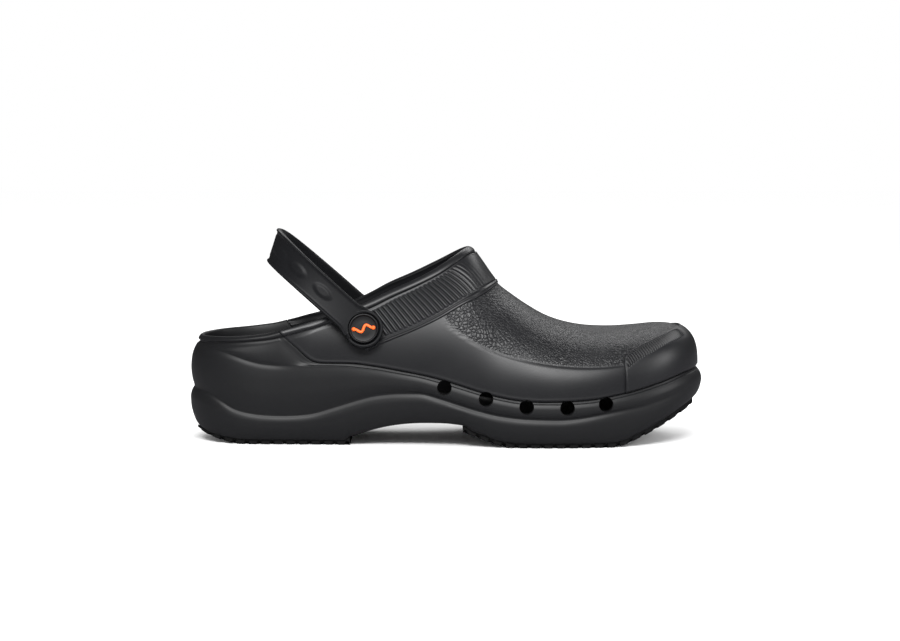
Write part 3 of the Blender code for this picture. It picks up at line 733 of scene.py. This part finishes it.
# %% Rows and columns of the cap
CAP_BACK = 243.0
CAP_HEIGHT = 1.1
CAP_RIB_PITCH, CAP_RIB_SLANT = 1.6, 0.45
CAP = Table(
    1.0, "x lift",
    (CAP_BACK, 28.5), (244.5, 32.0), (247, 35.0), (253.5, 41.0), (260.5, 45.5),
    (268, 51.0), (276.5, 56.5), (TOE_TIP, 63.0))


def cap_columns():
    """x of the cap's columns: close together at its edge, then even along its top line."""
    x = TOE_TIP - (TOE_TIP - CAP_BACK) * (1 - np.linspace(0, 1, 3000)) ** 2
    top = arch(x, CAP.at("lift", x), -1)
    along = gone_along(top)
    wanted = np.concatenate((np.linspace(0, 54, 320), np.linspace(54.8, along[-1], 60)))
    return np.interp(wanted, along, x)[None, :]


cap_rows = np.concatenate((
    np.linspace(0, 0.08, 7), np.linspace(0.11, 0.5, 10), np.linspace(0.52, 1, 34)))
cap_x = cap_columns()
cap_lift = cap_rows[:, None] * CAP.at("lift", cap_x)
cap_plain = np.concatenate((
    arch(cap_x + 0 * cap_lift, cap_lift, -1),
    arch(cap_x + 0 * cap_lift, cap_lift, 1)[:, -2::-1]), axis=1)
cap_out = outward(cap_plain)

# %% Ribs and edges of the cap
top_line = gone_along(cap_plain[-1])
from_end = np.minimum(top_line, top_line[-1] - top_line)[None, :]
steps = np.linalg.norm(np.diff(cap_plain, axis=0), axis=2)
up_from_foot = np.concatenate((np.zeros((1, steps.shape[1])), np.cumsum(steps, axis=0)))
below_top = up_from_foot[-1:] - up_from_foot
rib_phase = (from_end - CAP_RIB_SLANT * below_top) / CAP_RIB_PITCH
belt = smooth_step(1.3, 1.9, below_top) * smooth_step(9.0, 7.2, below_top)
belt = belt * smooth_step(1.5, 4.0, from_end) * smooth_step(52, 42, from_end)
rear = np.linalg.norm(cap_plain - cap_plain[:, :1], axis=2)
rear = np.minimum(rear, np.linalg.norm(cap_plain - cap_plain[:, -1:], axis=2))
cap_height = (CAP_HEIGHT + (1.1 * np.abs(np.sin(math.pi * rib_phase)) - 0.85) * belt
              + 0.15 * hump(below_top, 0.8, 0.4) + 0.15 * hump(rear, 0.9, 0.5))
cap_height = cap_height * smooth_step(-0.1, 0.45, below_top) * smooth_step(-0.1, 0.5, rear)
cap_height = cap_height * smooth_step(-0.3, 0.5, up_from_foot) - 0.1 * (up_from_foot < 0.3)
cap_over = cap_plain + cap_out * cap_height[..., None]
cap_under = cap_plain - cap_out * 0.5
cap_points = np.concatenate((cap_over, cap_under[[-1, 25, 0]], cap_over[:1]))
toe_cap = make_skin("toe_cap", cap_points, caps=True)

# %% [markdown]
# ## Vent holes
#
# Five vents go through each side. On the real shoe a pin in the mould leaves them. Here a round
# bar is laid across the shoe at each place and taken away from both skins.

# %% Cut the vents
VENT_RADIUS = 4.0
VENTS = ((143.9, 33.2), (166.7, 27.3), (188.9, 23.2), (211.2, 22.7), (232.4, 24.5))


def bar(name, centre, axis, radius, length, sides=48):
    """A round bar about a centre, in millimetres."""
    deselect()
    turn = Vector(axis).to_track_quat("Z", "Y").to_euler()
    bpy.ops.mesh.primitive_cylinder_add(
        vertices=sides, radius=radius * MM, depth=length * MM,
        location=to_frame(centre), rotation=turn)
    made = bpy.context.object
    made.name = name
    bpy.ops.object.transform_apply(location=True, rotation=True, scale=True)
    return made


def join_bars(bars):
    select_only(*bars)
    bpy.ops.object.join()
    return bars[0]


def combine(piece, tool, operation):
    """Apply a Boolean with another mesh to a piece."""
    select_only(piece)
    change = piece.modifiers.new(operation.title(), "BOOLEAN")
    change.object = tool
    change.operation = operation
    change.solver = "EXACT"
    bpy.ops.object.modifier_apply(modifier=change.name)


def remove(*pieces):
    for piece in pieces:
        bpy.data.objects.remove(piece, do_unlink=True)


vents = join_bars([bar("vent", (x, 0, z), (0, 1, 0), VENT_RADIUS, 130) for x, z in VENTS])
for piece in (upper, sole):
    combine(piece, vents, "DIFFERENCE")
    bpy.ops.object.shade_smooth_by_angle(angle=math.radians(50))
    print(piece.name, "with vents:", len(piece.data.polygons), "faces")
remove(vents)

# %% [markdown]
# ## Rivets and the eyes of the strap
#
# A turned part is the easiest thing to draw: half of its outline is spun about its axis. Here we
# start with a plane, melt it to a single point and extrude that point along the outline, just as
# by hand. The spin then makes the solid, which is laid square to the wall of the shoe.

# %% Where the rivets go
RIVET_X, RIVET_Z = 99.5, 63.8
EYE_RADIUS = 10.7
EYE_GAP = 1.3           # between the wall's highest point under the eye and the eye
SPIN_STEPS = 96


def rivet_seat(side):
    """Where the inner face of the strap's eye lies, and the direction out of the wall there."""
    lift = np.linspace(0, 90, 3601)
    wall = arch(np.full_like(lift, RIVET_X), lift, side)
    k = int(np.argmin(np.abs(wall[:, 2] - RIVET_Z)))
    rise = wall[k + 120] - wall[k - 120]
    axis = np.array((0, side * rise[2], -side * rise[1]))
    axis /= np.linalg.norm(axis)
    reach = 0
    for turn in np.linspace(0, 2 * math.pi, 24, endpoint=False):
        x = RIVET_X + EYE_RADIUS * math.cos(turn)
        near = arch(np.full_like(lift, x), lift, side)
        j = int(np.argmin(np.abs(near[:, 2] - RIVET_Z - EYE_RADIUS * math.sin(turn) * abs(axis[1]))))
        reach = max(reach, (near[j] - wall[k]) @ axis)
    return wall[k] + axis * (reach + EYE_GAP), axis


SEATS = {side: rivet_seat(side) for side in (-1, 1)}
print("rivet seats:", {side: seat[0].round(1).tolist() for side, seat in SEATS.items()})


# %% Turn an outline about an axis
def turned(name, outline, seat, axis):
    """A solid of revolution. The outline is pairs of radius and height, in millimetres."""
    deselect()
    bpy.ops.mesh.primitive_plane_add(size=0.1 * MM)
    made = bpy.context.object
    made.name = made.data.name = name
    bpy.ops.object.mode_set(mode="EDIT")
    bpy.ops.mesh.merge(type="CENTER")
    here = np.zeros(2)
    for radius, height in outline:
        move = (np.array((radius, height)) - here) * MM
        if not here.any() and radius == outline[0][0]:
            bpy.ops.transform.translate(value=(move[0], 0, move[1]))
        else:
            bpy.ops.mesh.extrude_region_move(
                TRANSFORM_OT_translate={"value": (move[0], 0, move[1])})
        here = np.array((radius, height))
    bpy.ops.mesh.select_all(action="SELECT")
    bpy.ops.mesh.spin(steps=SPIN_STEPS, angle=2 * math.pi, center=(0, 0, 0), axis=(0, 0, 1))
    bpy.ops.mesh.select_all(action="SELECT")
    bpy.ops.mesh.remove_doubles(threshold=0.01 * MM)
    bpy.ops.mesh.normals_make_consistent(inside=False)
    bpy.ops.object.mode_set(mode="OBJECT")
    lay_on(made, seat, axis)
    bpy.ops.object.shade_smooth_by_angle(angle=math.radians(40))
    return made


def lay_on(made, seat, axis, roll=0.0):
    """Turn a piece made round the z axis so that it stands on the wall, and keep that place."""
    select_only(made)
    out = Vector(axis)
    ahead = Vector((1, 0, 0)) * (1 if out.y < 0 else -1)
    up = out.cross(ahead).normalized()
    turn = Matrix((ahead, up, out)).transposed().to_4x4()
    spot = Matrix.Translation(Vector(to_frame(seat)))
    made.matrix_world = spot @ turn @ Matrix.Rotation(roll, 4, "Z")
    bpy.ops.object.transform_apply(location=True, rotation=True, scale=True)


EYE_OUTLINE = (
    (3.7, 2.3), (3.7, 0.0), (9.9, 0.0), (10.45, 0.2), (10.7, 0.8), (10.7, 3.2), (10.6, 3.7),
    (10.25, 4.1), (9.7, 4.2), (9.2, 4.05), (8.95, 3.7), (8.8, 3.2), (8.7, 2.4), (8.5, 2.3), (3.7, 2.3))
HEAD_OUTLINE = (
    (0.0, 3.95), (4.0, 3.93), (6.7, 3.85), (6.95, 3.9), (7.15, 4.35), (7.4, 4.55), (7.75, 4.6),
    (8.1, 4.45), (8.25, 4.0), (8.25, 2.7), (3.4, 2.7), (3.4, -7.0), (6.5, -7.0), (6.5, -7.9),
    (6.2, -8.4), (5.4, -8.6), (0.0, -8.6))
WORDS = {-1: "lateral", 1: "medial"}
eyes, rivets = {}, {}
for side, (seat, axis) in SEATS.items():
    eyes[side] = turned("strap_eye_" + WORDS[side], EYE_OUTLINE, seat, axis)
    rivets[side] = turned("rivet_head_" + WORDS[side], HEAD_OUTLINE, seat, axis)
    print(WORDS[side], len(eyes[side].data.polygons), len(rivets[side].data.polygons), "faces")

# %% [markdown]
# The rivet's disc carries a small raised mark in a warm orange. Ours is a plain wave with a dot
# at each end. A curve is drawn, given a round section and made a mesh. The dots hide its ends.

# %% Wave on the disc
WAVE_HALF, WAVE_HEIGHT, WAVE_TURNS, WAVE_LIFT = 5.2, 1.4, 1.5, 4.0
WAVE_POINTS = 61
ROD_RADIUS, DOT_RADIUS = 0.75, 1.15
WAVE_ROLL = math.radians(20)


def wave_mark(side):
    seat, axis = SEATS[side]
    deselect()
    bpy.ops.curve.primitive_nurbs_path_add()
    wave = bpy.context.object
    wave.name = "rivet_mark_" + WORDS[side]
    line = wave.data
    line.splines.clear()
    path = line.splines.new("POLY")
    share = np.linspace(-1, 1, WAVE_POINTS)
    swing = WAVE_HEIGHT * np.sin(share * WAVE_TURNS * math.pi)
    points = np.stack((share * WAVE_HALF, swing, np.full(WAVE_POINTS, WAVE_LIFT)), axis=1) * MM
    path.points.add(len(share) - 1)
    path.points.foreach_set("co", np.column_stack((points, np.ones(len(share)))).ravel())
    line.dimensions = "3D"
    line.bevel_depth = ROD_RADIUS * MM
    line.bevel_resolution = 4
    line.use_fill_caps = True
    bpy.ops.object.convert(target="MESH")
    for end in (0, -1):
        bpy.ops.mesh.primitive_uv_sphere_add(
            segments=24, ring_count=12, radius=DOT_RADIUS * MM, location=points[end])
        select_only(wave, bpy.context.object)
        bpy.ops.object.join()
    bpy.ops.object.transform_apply(location=True, rotation=True, scale=True)
    lay_on(wave, seat, axis, WAVE_ROLL)
    bpy.ops.object.shade_smooth()
    return wave


waves = {side: wave_mark(side) for side in SEATS}

# %% [markdown]
# ## Heel strap
#
# The strap is a flat band of foam that loops behind the heel. Its section has a bead along each
# edge, its face carries long oval pads, and its back is finely ribbed for grip. We sweep that
# section along the loop as one more skin, and set the pads as heights on its face.

# %% Path of the strap
STRAP_LENGTH, STRAP_RISE, STRAP_FLARE, STRAP_THICK = 68.0, 41.5, 23.5, 2.6
STRAP_BACK = np.array((-math.cos(math.radians(STRAP_RISE)), 0, math.sin(math.radians(STRAP_RISE))))
STRAP_UP = np.array((math.sin(math.radians(STRAP_RISE)), 0, math.cos(math.radians(STRAP_RISE))))
POWER = 2 / ROUNDNESS


def strap_frame(angle, side):
    """Middle, outward and upward direction of the strap at angles from its back."""
    turn = np.radians(angle)[:, None]
    seat = SEATS[side][0] + SEATS[side][1] * (STRAP_THICK / 2 + 0.6)
    middle = (SEATS[-1][0][1] + SEATS[1][0][1]) / 2
    along, across = np.cos(turn) ** POWER, np.sin(turn) ** POWER
    centre = (np.array((RIVET_X, middle, RIVET_Z)) + STRAP_BACK * along * STRAP_LENGTH
              + np.array((0, seat[1] - middle, seat[2] - RIVET_Z)) * across)
    half_width = abs(SEATS[side][0][1] - middle)
    out = unit(STRAP_BACK * np.cos(turn) ** (2 - POWER)
               + np.array((0, side, 0)) * np.sin(turn) ** (2 - POWER) * STRAP_LENGTH / half_width)
    share = np.cos(turn) ** 2
    tilt = math.radians(STRAP_FLARE) * share - math.asin(abs(SEATS[side][1][2])) * (1 - share)
    return (centre, out * np.cos(tilt) - STRAP_UP * np.sin(tilt),
            STRAP_UP * np.cos(tilt) + out * np.sin(tilt), along[:, 0] * STRAP_LENGTH)


def even_angles(side, spacing=0.5):
    """Angles for stations at an even distance along one half of the strap."""
    angle = np.linspace(0, 88.5, 2000)
    centre = strap_frame(angle, side)[0]
    gone = gone_along(centre)
    spots = np.linspace(0, gone[-1], int(gone[-1] / spacing) + 1)
    return np.interp(spots, gone, angle), spots


# %% Section, pads and ribs of the strap
EDGE_SECTION = (  # distance from the edge, and distance out of the strap's middle surface
    (0.0, 0.3), (0.08, 1.2), (0.3, 1.75), (0.7, 2.0),
    (1.1, 1.95), (1.45, 1.65), (1.75, 1.35), (2.2, 1.25))
INNER_SECTION = ((2.2, -1.3), (0.8, -1.3), (0.3, -1.05), (0.05, -0.5))
EYE_INSIDE, EYE_REACH = 10.3, 5.2  # the band's end stays within the eye's disc
PADS = (62.5, 49.0, 30.5)          # distance of each pad from the rivet, along the strap
PAD_HEIGHT, COMB_HEIGHT, COMB_PITCH = 0.55, 0.3, 1.6
FACE = np.linspace(0, 1, 27)[1:-1]


def strap_section(half, along, gone):
    """Points round the section at one station: height over the middle line, and depth.

    along is the distance from the rivet, gone the distance from the back of the loop.
    """
    near = [(-half + e, d) for e, d in EDGE_SECTION]
    far = [(half - e, d) for e, d in EDGE_SECTION[::-1]]
    span = 2 * (half - EDGE_SECTION[-1][0])
    face = [(-span / 2 + span * s, 1.2 - 0.1 * math.sin(math.pi * s)) for s in FACE]
    inner = [(half - e, d) for e, d in INNER_SECTION[::-1]]
    inner += [(-half + e, d) for e, d in INNER_SECTION]
    points = np.array(near + face + far + inner)
    on_face = slice(len(near), len(near) + len(face))
    across = points[on_face, 0]
    lift = np.zeros(len(face))
    for spot in PADS:
        away = np.hypot((along - spot) / 6.6, (across - 0.3) / 3.1)
        lift += PAD_HEIGHT * (1 - smooth_step(0.5, 1.1, away))
    comb = smooth_step(8.5, 6.5, gone)
    comb = comb * smooth_step(0.06, 0.14, FACE) * smooth_step(0.94, 0.86, FACE)
    teeth = 0.5 + 0.5 * math.cos(2 * math.pi * gone / COMB_PITCH)
    lift = lift * (1 - comb) + comb * COMB_HEIGHT * teeth
    points[on_face, 1] += lift
    return points


def strap_half(side):
    angle, gone = even_angles(side)
    centre, out, up, along = strap_frame(angle, side)
    half = 8.5 + 1.25 * np.cos(np.radians(angle)) ** 4
    half = half + 1.7 * smooth_step(12.0, 5.0, along)
    within_eye = np.sqrt(np.maximum(EYE_INSIDE ** 2 - along ** 2, 1))
    half = np.where(along < EYE_REACH, np.minimum(half, within_eye), half)
    rings = []
    for k, size in enumerate(half):
        section = strap_section(size, along[k], gone[k])
        rings.append(centre[k] + up[k] * section[:, :1] + out[k] * section[:, 1:])
    return np.array(rings)


SINK_FLOOR, SINK_RADIUS, SINK_HEIGHT = 2.4, 8.75, 20.0
strap_points = np.concatenate((strap_half(-1)[::-1], strap_half(1)[1:]))
strap_points = np.concatenate((strap_points, strap_points[:, :1]), axis=1)
strap = make_skin("strap_band", strap_points, caps=True)
for side, (seat, axis) in SEATS.items():
    sink = bar("sink", seat + axis * (SINK_FLOOR + SINK_HEIGHT / 2), axis,
               SINK_RADIUS, SINK_HEIGHT, SPIN_STEPS)
    combine(strap, sink, "DIFFERENCE")
    combine(strap, eyes[side], "UNION")
    remove(sink, eyes[side])
select_only(strap)
bpy.ops.object.shade_smooth_by_angle(angle=math.radians(40))
print("strap:", len(strap.data.polygons), "faces")

# %% [markdown]
# ## Footbed
#
# The footbed lies loose in the tub. It is cupped at the heel, crowned a little along its edge and
# textured so that a sock doesn't slip.

# %% Rings of the footbed
BED_HOLLOW = 0.7
bed_rings = rings_over_floor(
    (5.4, 0.3), (4.0, 0.6), (3.0, 1.4), (2.2, 3.0), (2.0, 3.7), (2.3, 4.15), (3.2, 4.3), (4.6, 4.1))
bed_top = bed_rings[-1]
for share in np.linspace(0.06, 1, 22):
    ring_now = middle_ring(bed_top, share)
    ring_now[:, 2] -= BED_HOLLOW * math.sin(math.pi / 2 * min(share * 1.6, 1))
    bed_rings.append(ring_now)
bed_points = np.concatenate((closed_from(bed_rings[0])[::-1], bed_rings))
footbed = make_skin("footbed", bed_points)

# %% [markdown]
# ## Rubber treads
#
# Heel and forefoot stand on moulded rubber plates. Shallow grooves run over each plate in wide
# arrows and come out at its edge as small notches, which leaves the teeth seen from the side. Each
# plate is a grid bent into a face and two side walls, and its open edge is filled, which closes its
# back and both ends.

# %% Two rubber plates
TREAD_PITCH = 7.0
GROOVE_DEPTH, NOTCH_DEPTH = 1.9, 1.6
TREAD_STEP = 0.45       # from one row of points to the next
TREAD_INSET = 2.4       # from the outline of the sole in to the plate
ARROW_SWAY = 5.0        # how far a groove swings forward from the middle to the side


def tread_plate(name, back, front):
    """A rubber plate from x back to x front."""
    x = np.arange(back, front + 0.2, TREAD_STEP)[:, None]
    lateral, medial = edge(x, -1), edge(x, 1)
    lateral = lateral + np.minimum(TREAD_INSET, np.abs(lateral) / 2)
    medial = medial - np.minimum(TREAD_INSET, np.abs(medial) / 2)
    low, top = TREAD.at("ground", x), SOLE.at("underside", x) - 0.1
    share = np.concatenate((np.zeros(8), np.linspace(0, 1, 74), np.ones(8)))[None, :]
    wall = np.linspace(0.08, 1, 8)
    wall = np.concatenate((wall[::-1], np.zeros(74), wall))[None, :]
    on_face = wall == 0
    y = lateral + (medial - lateral) * share
    from_side = np.minimum(share, 1 - share) * (medial - lateral)
    phase = ((x - back - ARROW_SWAY * np.abs(2 * share - 1)) / TREAD_PITCH) % 1.0
    ends = smooth_step(back, back + 2.0, x) * smooth_step(front, front - 2.0, x)
    groove = (1 - smooth_step(0.12, 0.19, np.abs(phase - 0.5))) * ends
    channel = (1 - smooth_step(1.6, 2.4, np.abs(share - 0.5) * (medial - lateral))) * ends
    room = np.minimum(GROOVE_DEPTH, 0.5 * (top - low))
    rounded = 0.35 * (1 - smooth_step(0.0, 0.9, from_side))
    z = low + (top - low) * wall + (room * np.maximum(groove, channel) + rounded) * on_face
    notch = groove * smooth_step(room * 1.15, room * 0.75, wall * (top - low))
    inward = (share == 0) * 1.0 - (share == 1)
    y = y + inward * NOTCH_DEPTH * notch
    return make_skin(name, np.stack((x + 0 * z, y + 0 * z, z), axis=-1), caps=True)


heel_tread = tread_plate("heel_tread", 4.6, 91.5)
forefoot_tread = tread_plate("forefoot_tread", 154.0, 283.6)

# %% [markdown]
# ## Put every piece on the frame
#
# Each skin stands for one imported node and rides on the shoe's single body. The table also lists
# the slot of the record that its finish belongs to.

# %% Ride and replace
PLACES = (
    (upper, "upper", "upper_foam"),
    (collar, "upper", "upper_foam"),
    (toe_cap, "upper", "upper_foam"),
    (sole, "midsole", "sole_foam"),
    (footbed, "insole", "footbed"),
    (strap, "heel_strap", "strap_foam"),
    (rivets[-1], "rivet_lateral", "rivet_plastic"),
    (rivets[1], "rivet_medial", "rivet_plastic"),
    (waves[-1], "rivet_lateral", "rivet_plastic"),
    (waves[1], "rivet_medial", "rivet_plastic"),
    (heel_tread, "outsole_heel", "tread_rubber"),
    (forefoot_tread, "outsole_forefoot", "tread_rubber"))
for piece, node, slot in PLACES:
    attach(piece, "root")
    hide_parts(node)

# %% [markdown]
# ## Foam skin
#
# Moulded foam is near black and satin. Its skin has a very fine pebble and its gloss isn't quite
# even, because the mould's own polish isn't. Two noises give that: a fine one for the pebble
# and a slow one for the gloss. They are kept in one node group, which several materials share.

# %% Group for the foam's skin
def start_group(name, inputs, outputs):
    group = bpy.data.node_groups.new(name, "ShaderNodeTree")
    for label, kind, value in inputs:
        socket = group.interface.new_socket(name=label, in_out="INPUT", socket_type=kind)
        if value is not None:
            socket.default_value = value
    for label, kind in outputs:
        group.interface.new_socket(name=label, in_out="OUTPUT", socket_type=kind)
    return group, group.nodes.new("NodeGroupInput"), group.nodes.new("NodeGroupOutput")


def noise(tree, vector, scale, detail, output="Fac"):
    node = tree.nodes.new("ShaderNodeTexNoise")
    node.inputs["Scale"].default_value = scale
    node.inputs["Detail"].default_value = detail
    tree.links.new(vector, node.inputs["Vector"])
    return node.outputs[output]


def reckon(tree, operation, *values):
    node = tree.nodes.new("ShaderNodeMath")
    node.operation = operation
    for socket, value in zip(node.inputs, values):
        if isinstance(value, (int, float)):
            socket.default_value = value
        else:
            tree.links.new(value, socket)
    return node.outputs[0]


def spread_between(tree, value, low, high):
    node = tree.nodes.new("ShaderNodeMapRange")
    node.inputs["To Min"].default_value = low
    node.inputs["To Max"].default_value = high
    tree.links.new(value, node.inputs["Value"])
    return node.outputs["Result"]


skin_group, skin_in, skin_out = start_group(
    "moulded_skin",
    (("Vector", "NodeSocketVector", None),),
    (("Height", "NodeSocketFloat"), ("Gloss", "NodeSocketFloat")))
pebble = noise(skin_group, skin_in.outputs["Vector"], 1700, 2)
polish = noise(skin_group, skin_in.outputs["Vector"], 45, 3)
skin_group.links.new(pebble, skin_out.inputs["Height"])
skin_group.links.new(polish, skin_out.inputs["Gloss"])

# %% [markdown]
# ## Hide grain
#
# The panel on the vamp copies the grain of leather: rounded cells with creases between them,
# coarse by the collar and finer towards the toe. A Voronoi pattern gives the cells, a noise
# bends them first, and the mark that we painted on the shell keeps them inside the panel.

# %% Group for the grain
grain_group, grain_in, grain_out = start_group(
    "hide_grain",
    (("Vector", "NodeSocketVector", None), ("Mask", "NodeSocketFloat", 0.0),
     ("Fineness", "NodeSocketFloat", 0.0)),
    (("Height", "NodeSocketFloat"),))


def rounded_cells(tree, vector, scale):
    """How far a point lies inside its cell, with a steep edge and a flat middle."""
    node = tree.nodes.new("ShaderNodeTexVoronoi")
    node.feature = "DISTANCE_TO_EDGE"
    node.inputs["Scale"].default_value = scale
    tree.links.new(vector, node.inputs["Vector"])
    return reckon(tree, "POWER", reckon(tree, "MULTIPLY", node.outputs["Distance"], 2.2), 0.5)


COARSE_CELLS, FINE_CELLS = 470, 720
CELL_TOP = 0.9          # cells are flat above this height
wobble = noise(grain_group, grain_in.outputs["Vector"], 260, 2, "Color")
bend = grain_group.nodes.new("ShaderNodeVectorMath")
bend.operation = "MULTIPLY_ADD"
bend.inputs[1].default_value = (0.0022, 0.0022, 0.0022)
grain_group.links.new(wobble, bend.inputs[0])
grain_group.links.new(grain_in.outputs["Vector"], bend.inputs[2])
bent = bend.outputs["Vector"]
blend = grain_group.nodes.new("ShaderNodeMix")
grain_group.links.new(grain_in.outputs["Fineness"], blend.inputs["Factor"])
grain_group.links.new(rounded_cells(grain_group, bent, COARSE_CELLS), blend.inputs["A"])
grain_group.links.new(rounded_cells(grain_group, bent, FINE_CELLS), blend.inputs["B"])
grain = reckon(grain_group, "MINIMUM", blend.outputs["Result"], CELL_TOP)
grain = reckon(grain_group, "SUBTRACT", grain, CELL_TOP)
grain = reckon(grain_group, "MULTIPLY", grain, grain_in.outputs["Mask"])
grain_group.links.new(grain, grain_out.inputs["Height"])


# %% Materials of foam
def new_material(name, colour, specular=0.5):
    made = bpy.data.materials.new(name)
    made.use_nodes = True
    shader = made.node_tree.nodes["Principled BSDF"]
    shader.inputs["Base Color"].default_value = (*colour, 1)
    shader.inputs["Specular IOR Level"].default_value = specular
    place = made.node_tree.nodes.new("ShaderNodeTexCoord")
    return made, made.node_tree, shader, place.outputs["Object"]


def add_group(tree, group):
    node = tree.nodes.new("ShaderNodeGroup")
    node.node_tree = group
    return node


def add_bump(tree, height, depth, below=None):
    node = tree.nodes.new("ShaderNodeBump")
    node.inputs["Distance"].default_value = depth * MM
    tree.links.new(height, node.inputs["Height"])
    if below is not None:
        tree.links.new(below, node.inputs["Normal"])
    return node.outputs["Normal"]


GRAIN_DEPTH = 0.24


def foam(name, colour, rough, pebble_depth, shine=0.5, grained=False):
    """Moulded foam, rubber or plastic, with the hide grain too where it is asked for."""
    made, tree, shader, place = new_material(name, colour, shine)
    skin = add_group(tree, skin_group)
    tree.links.new(place, skin.inputs["Vector"])
    roughness = spread_between(tree, skin.outputs["Gloss"], rough - 0.05, rough + 0.07)
    tree.links.new(roughness, shader.inputs["Roughness"])
    normal = add_bump(tree, skin.outputs["Height"], pebble_depth)
    if grained:
        hide = add_group(tree, grain_group)
        tree.links.new(place, hide.inputs["Vector"])
        for mark, socket in (("grain", "Mask"), ("fineness", "Fineness")):
            read = tree.nodes.new("ShaderNodeAttribute")
            read.attribute_name = mark
            tree.links.new(read.outputs["Fac"], hide.inputs[socket])
        normal = add_bump(tree, hide.outputs["Height"], GRAIN_DEPTH, normal)
    tree.links.new(normal, shader.inputs["Normal"])
    return made


UPPER_BLACK = (0.0078, 0.0080, 0.0094)
upper_foam = foam("upper_foam", UPPER_BLACK, 0.38, 0.02, grained=True)
trim_foam = foam("trim_foam", UPPER_BLACK, 0.40, 0.02)
sole_foam = foam("sole_foam", (0.0070, 0.0072, 0.0082), 0.46, 0.025, shine=0.42)
strap_foam = foam("strap_foam", (0.0072, 0.0074, 0.0084), 0.40, 0.025, shine=0.14)
plastic = foam("rivet_plastic", (0.0035, 0.0035, 0.0042), 0.34, 0.004, shine=0.2)
orange = foam("mark_orange", (0.95, 0.13, 0.012), 0.38, 0.004)
rubber = foam("tread_rubber", (0.0045, 0.0045, 0.0048), 0.75, 0.05, shine=0.2)
bed = foam("footbed_foam", (0.013, 0.013, 0.0145), 0.74, 0.12)

for piece, finish in (
        (upper, upper_foam), (collar, trim_foam), (toe_cap, trim_foam), (sole, sole_foam),
        (footbed, bed), (strap, strap_foam), (rivets[-1], plastic), (rivets[1], plastic),
        (waves[-1], orange), (waves[1], orange), (heel_tread, rubber), (forefoot_tread, rubber)):
    piece.data.materials.clear()
    piece.data.materials.append(finish)

# %% [markdown]
# ## Studio
#
# The shoe stands on white paper under a white sky. A soft box in front and above lays the long
# highlight on the side of the vamp, a wide one behind draws the rims, and a small one ahead
# rounds the toe. Reflections see a dim paper and a dim sky, as if dark cards stood round the
# shoe. So the foam stays near black, and only the boxes shine in it.

# %% Paper floor
PAPER_IN_GLOSS = (0.16, 0.16, 0.17, 1)
SKY_IN_GLOSS = 0.08


def dim_in_gloss(tree, plain, dim, output):
    """Show reflections the dim shader, and everything else the plain one."""
    path = tree.nodes.new("ShaderNodeLightPath")
    choose = tree.nodes.new("ShaderNodeMixShader")
    tree.links.new(path.outputs["Is Glossy Ray"], choose.inputs[0])
    tree.links.new(plain.outputs[0], choose.inputs[1])
    tree.links.new(dim.outputs[0], choose.inputs[2])
    tree.links.new(choose.outputs[0], output.inputs["Surface"])


deselect()
bpy.ops.mesh.primitive_plane_add(size=8, location=(0, 0, 0))
floor = bpy.context.object
floor.name = "floor"
paper, paper_tree, paper_shader, _ = new_material("paper", (0.99, 0.99, 0.99), 0.0)
paper_shader.inputs["Roughness"].default_value = 1.0
paper_dim = paper_tree.nodes.new("ShaderNodeBsdfDiffuse")
paper_dim.inputs["Color"].default_value = PAPER_IN_GLOSS
dim_in_gloss(paper_tree, paper_shader, paper_dim, paper_tree.nodes["Material Output"])
floor.data.materials.append(paper)

# %% Camera
CAMERA_RISE = 5.0
CAMERA_AWAY = 1.4
FRAME_WIDTH = 0.509
deselect()
aim = Vector((0.002, 0, 0.0663))
rise = math.radians(CAMERA_RISE)
bpy.ops.object.camera_add(
    location=aim + CAMERA_AWAY * Vector((0, -math.cos(rise), math.sin(rise))),
    rotation=(math.pi / 2 - rise, 0, 0))
camera = bpy.context.object
camera.data.lens = camera.data.sensor_width * CAMERA_AWAY / FRAME_WIDTH
bpy.context.scene.camera = camera


# %% Soft boxes
def softbox(name, place, look_at, size, power):
    deselect()
    turn = (Vector(look_at) - Vector(place)).to_track_quat("-Z", "Y").to_euler()
    bpy.ops.object.light_add(type="AREA", location=place, rotation=turn)
    made = bpy.context.object
    made.name = name
    made.data.shape = "RECTANGLE"
    made.data.size, made.data.size_y = size
    made.data.energy = power
    return made


softbox("back_box", (0.3, 0.95, 0.8), (0.03, 0, 0.04), (1.2, 0.4), 4.5)
softbox("key_box", (-0.08, -0.76, 0.74), (0.03, 0, 0.05), (0.7, 0.3), 10.5)
softbox("side_box", (1.0, -0.35, 0.5), (0.1, 0, 0.05), (0.3, 0.5), 3)

# %% Sky, white to the lens and dim in reflections
world = bpy.data.worlds.new("studio")
bpy.context.scene.world = world
world.use_nodes = True
sky = world.node_tree
white = sky.nodes["Background"]
white.inputs["Color"].default_value = (1, 1, 1, 1)
white.inputs["Strength"].default_value = 1.0
sky_dim = sky.nodes.new("ShaderNodeBackground")
sky_dim.inputs["Strength"].default_value = SKY_IN_GLOSS
dim_in_gloss(sky, white, sky_dim, sky.nodes["World Output"])
bpy.context.scene.view_settings.view_transform = "Standard"
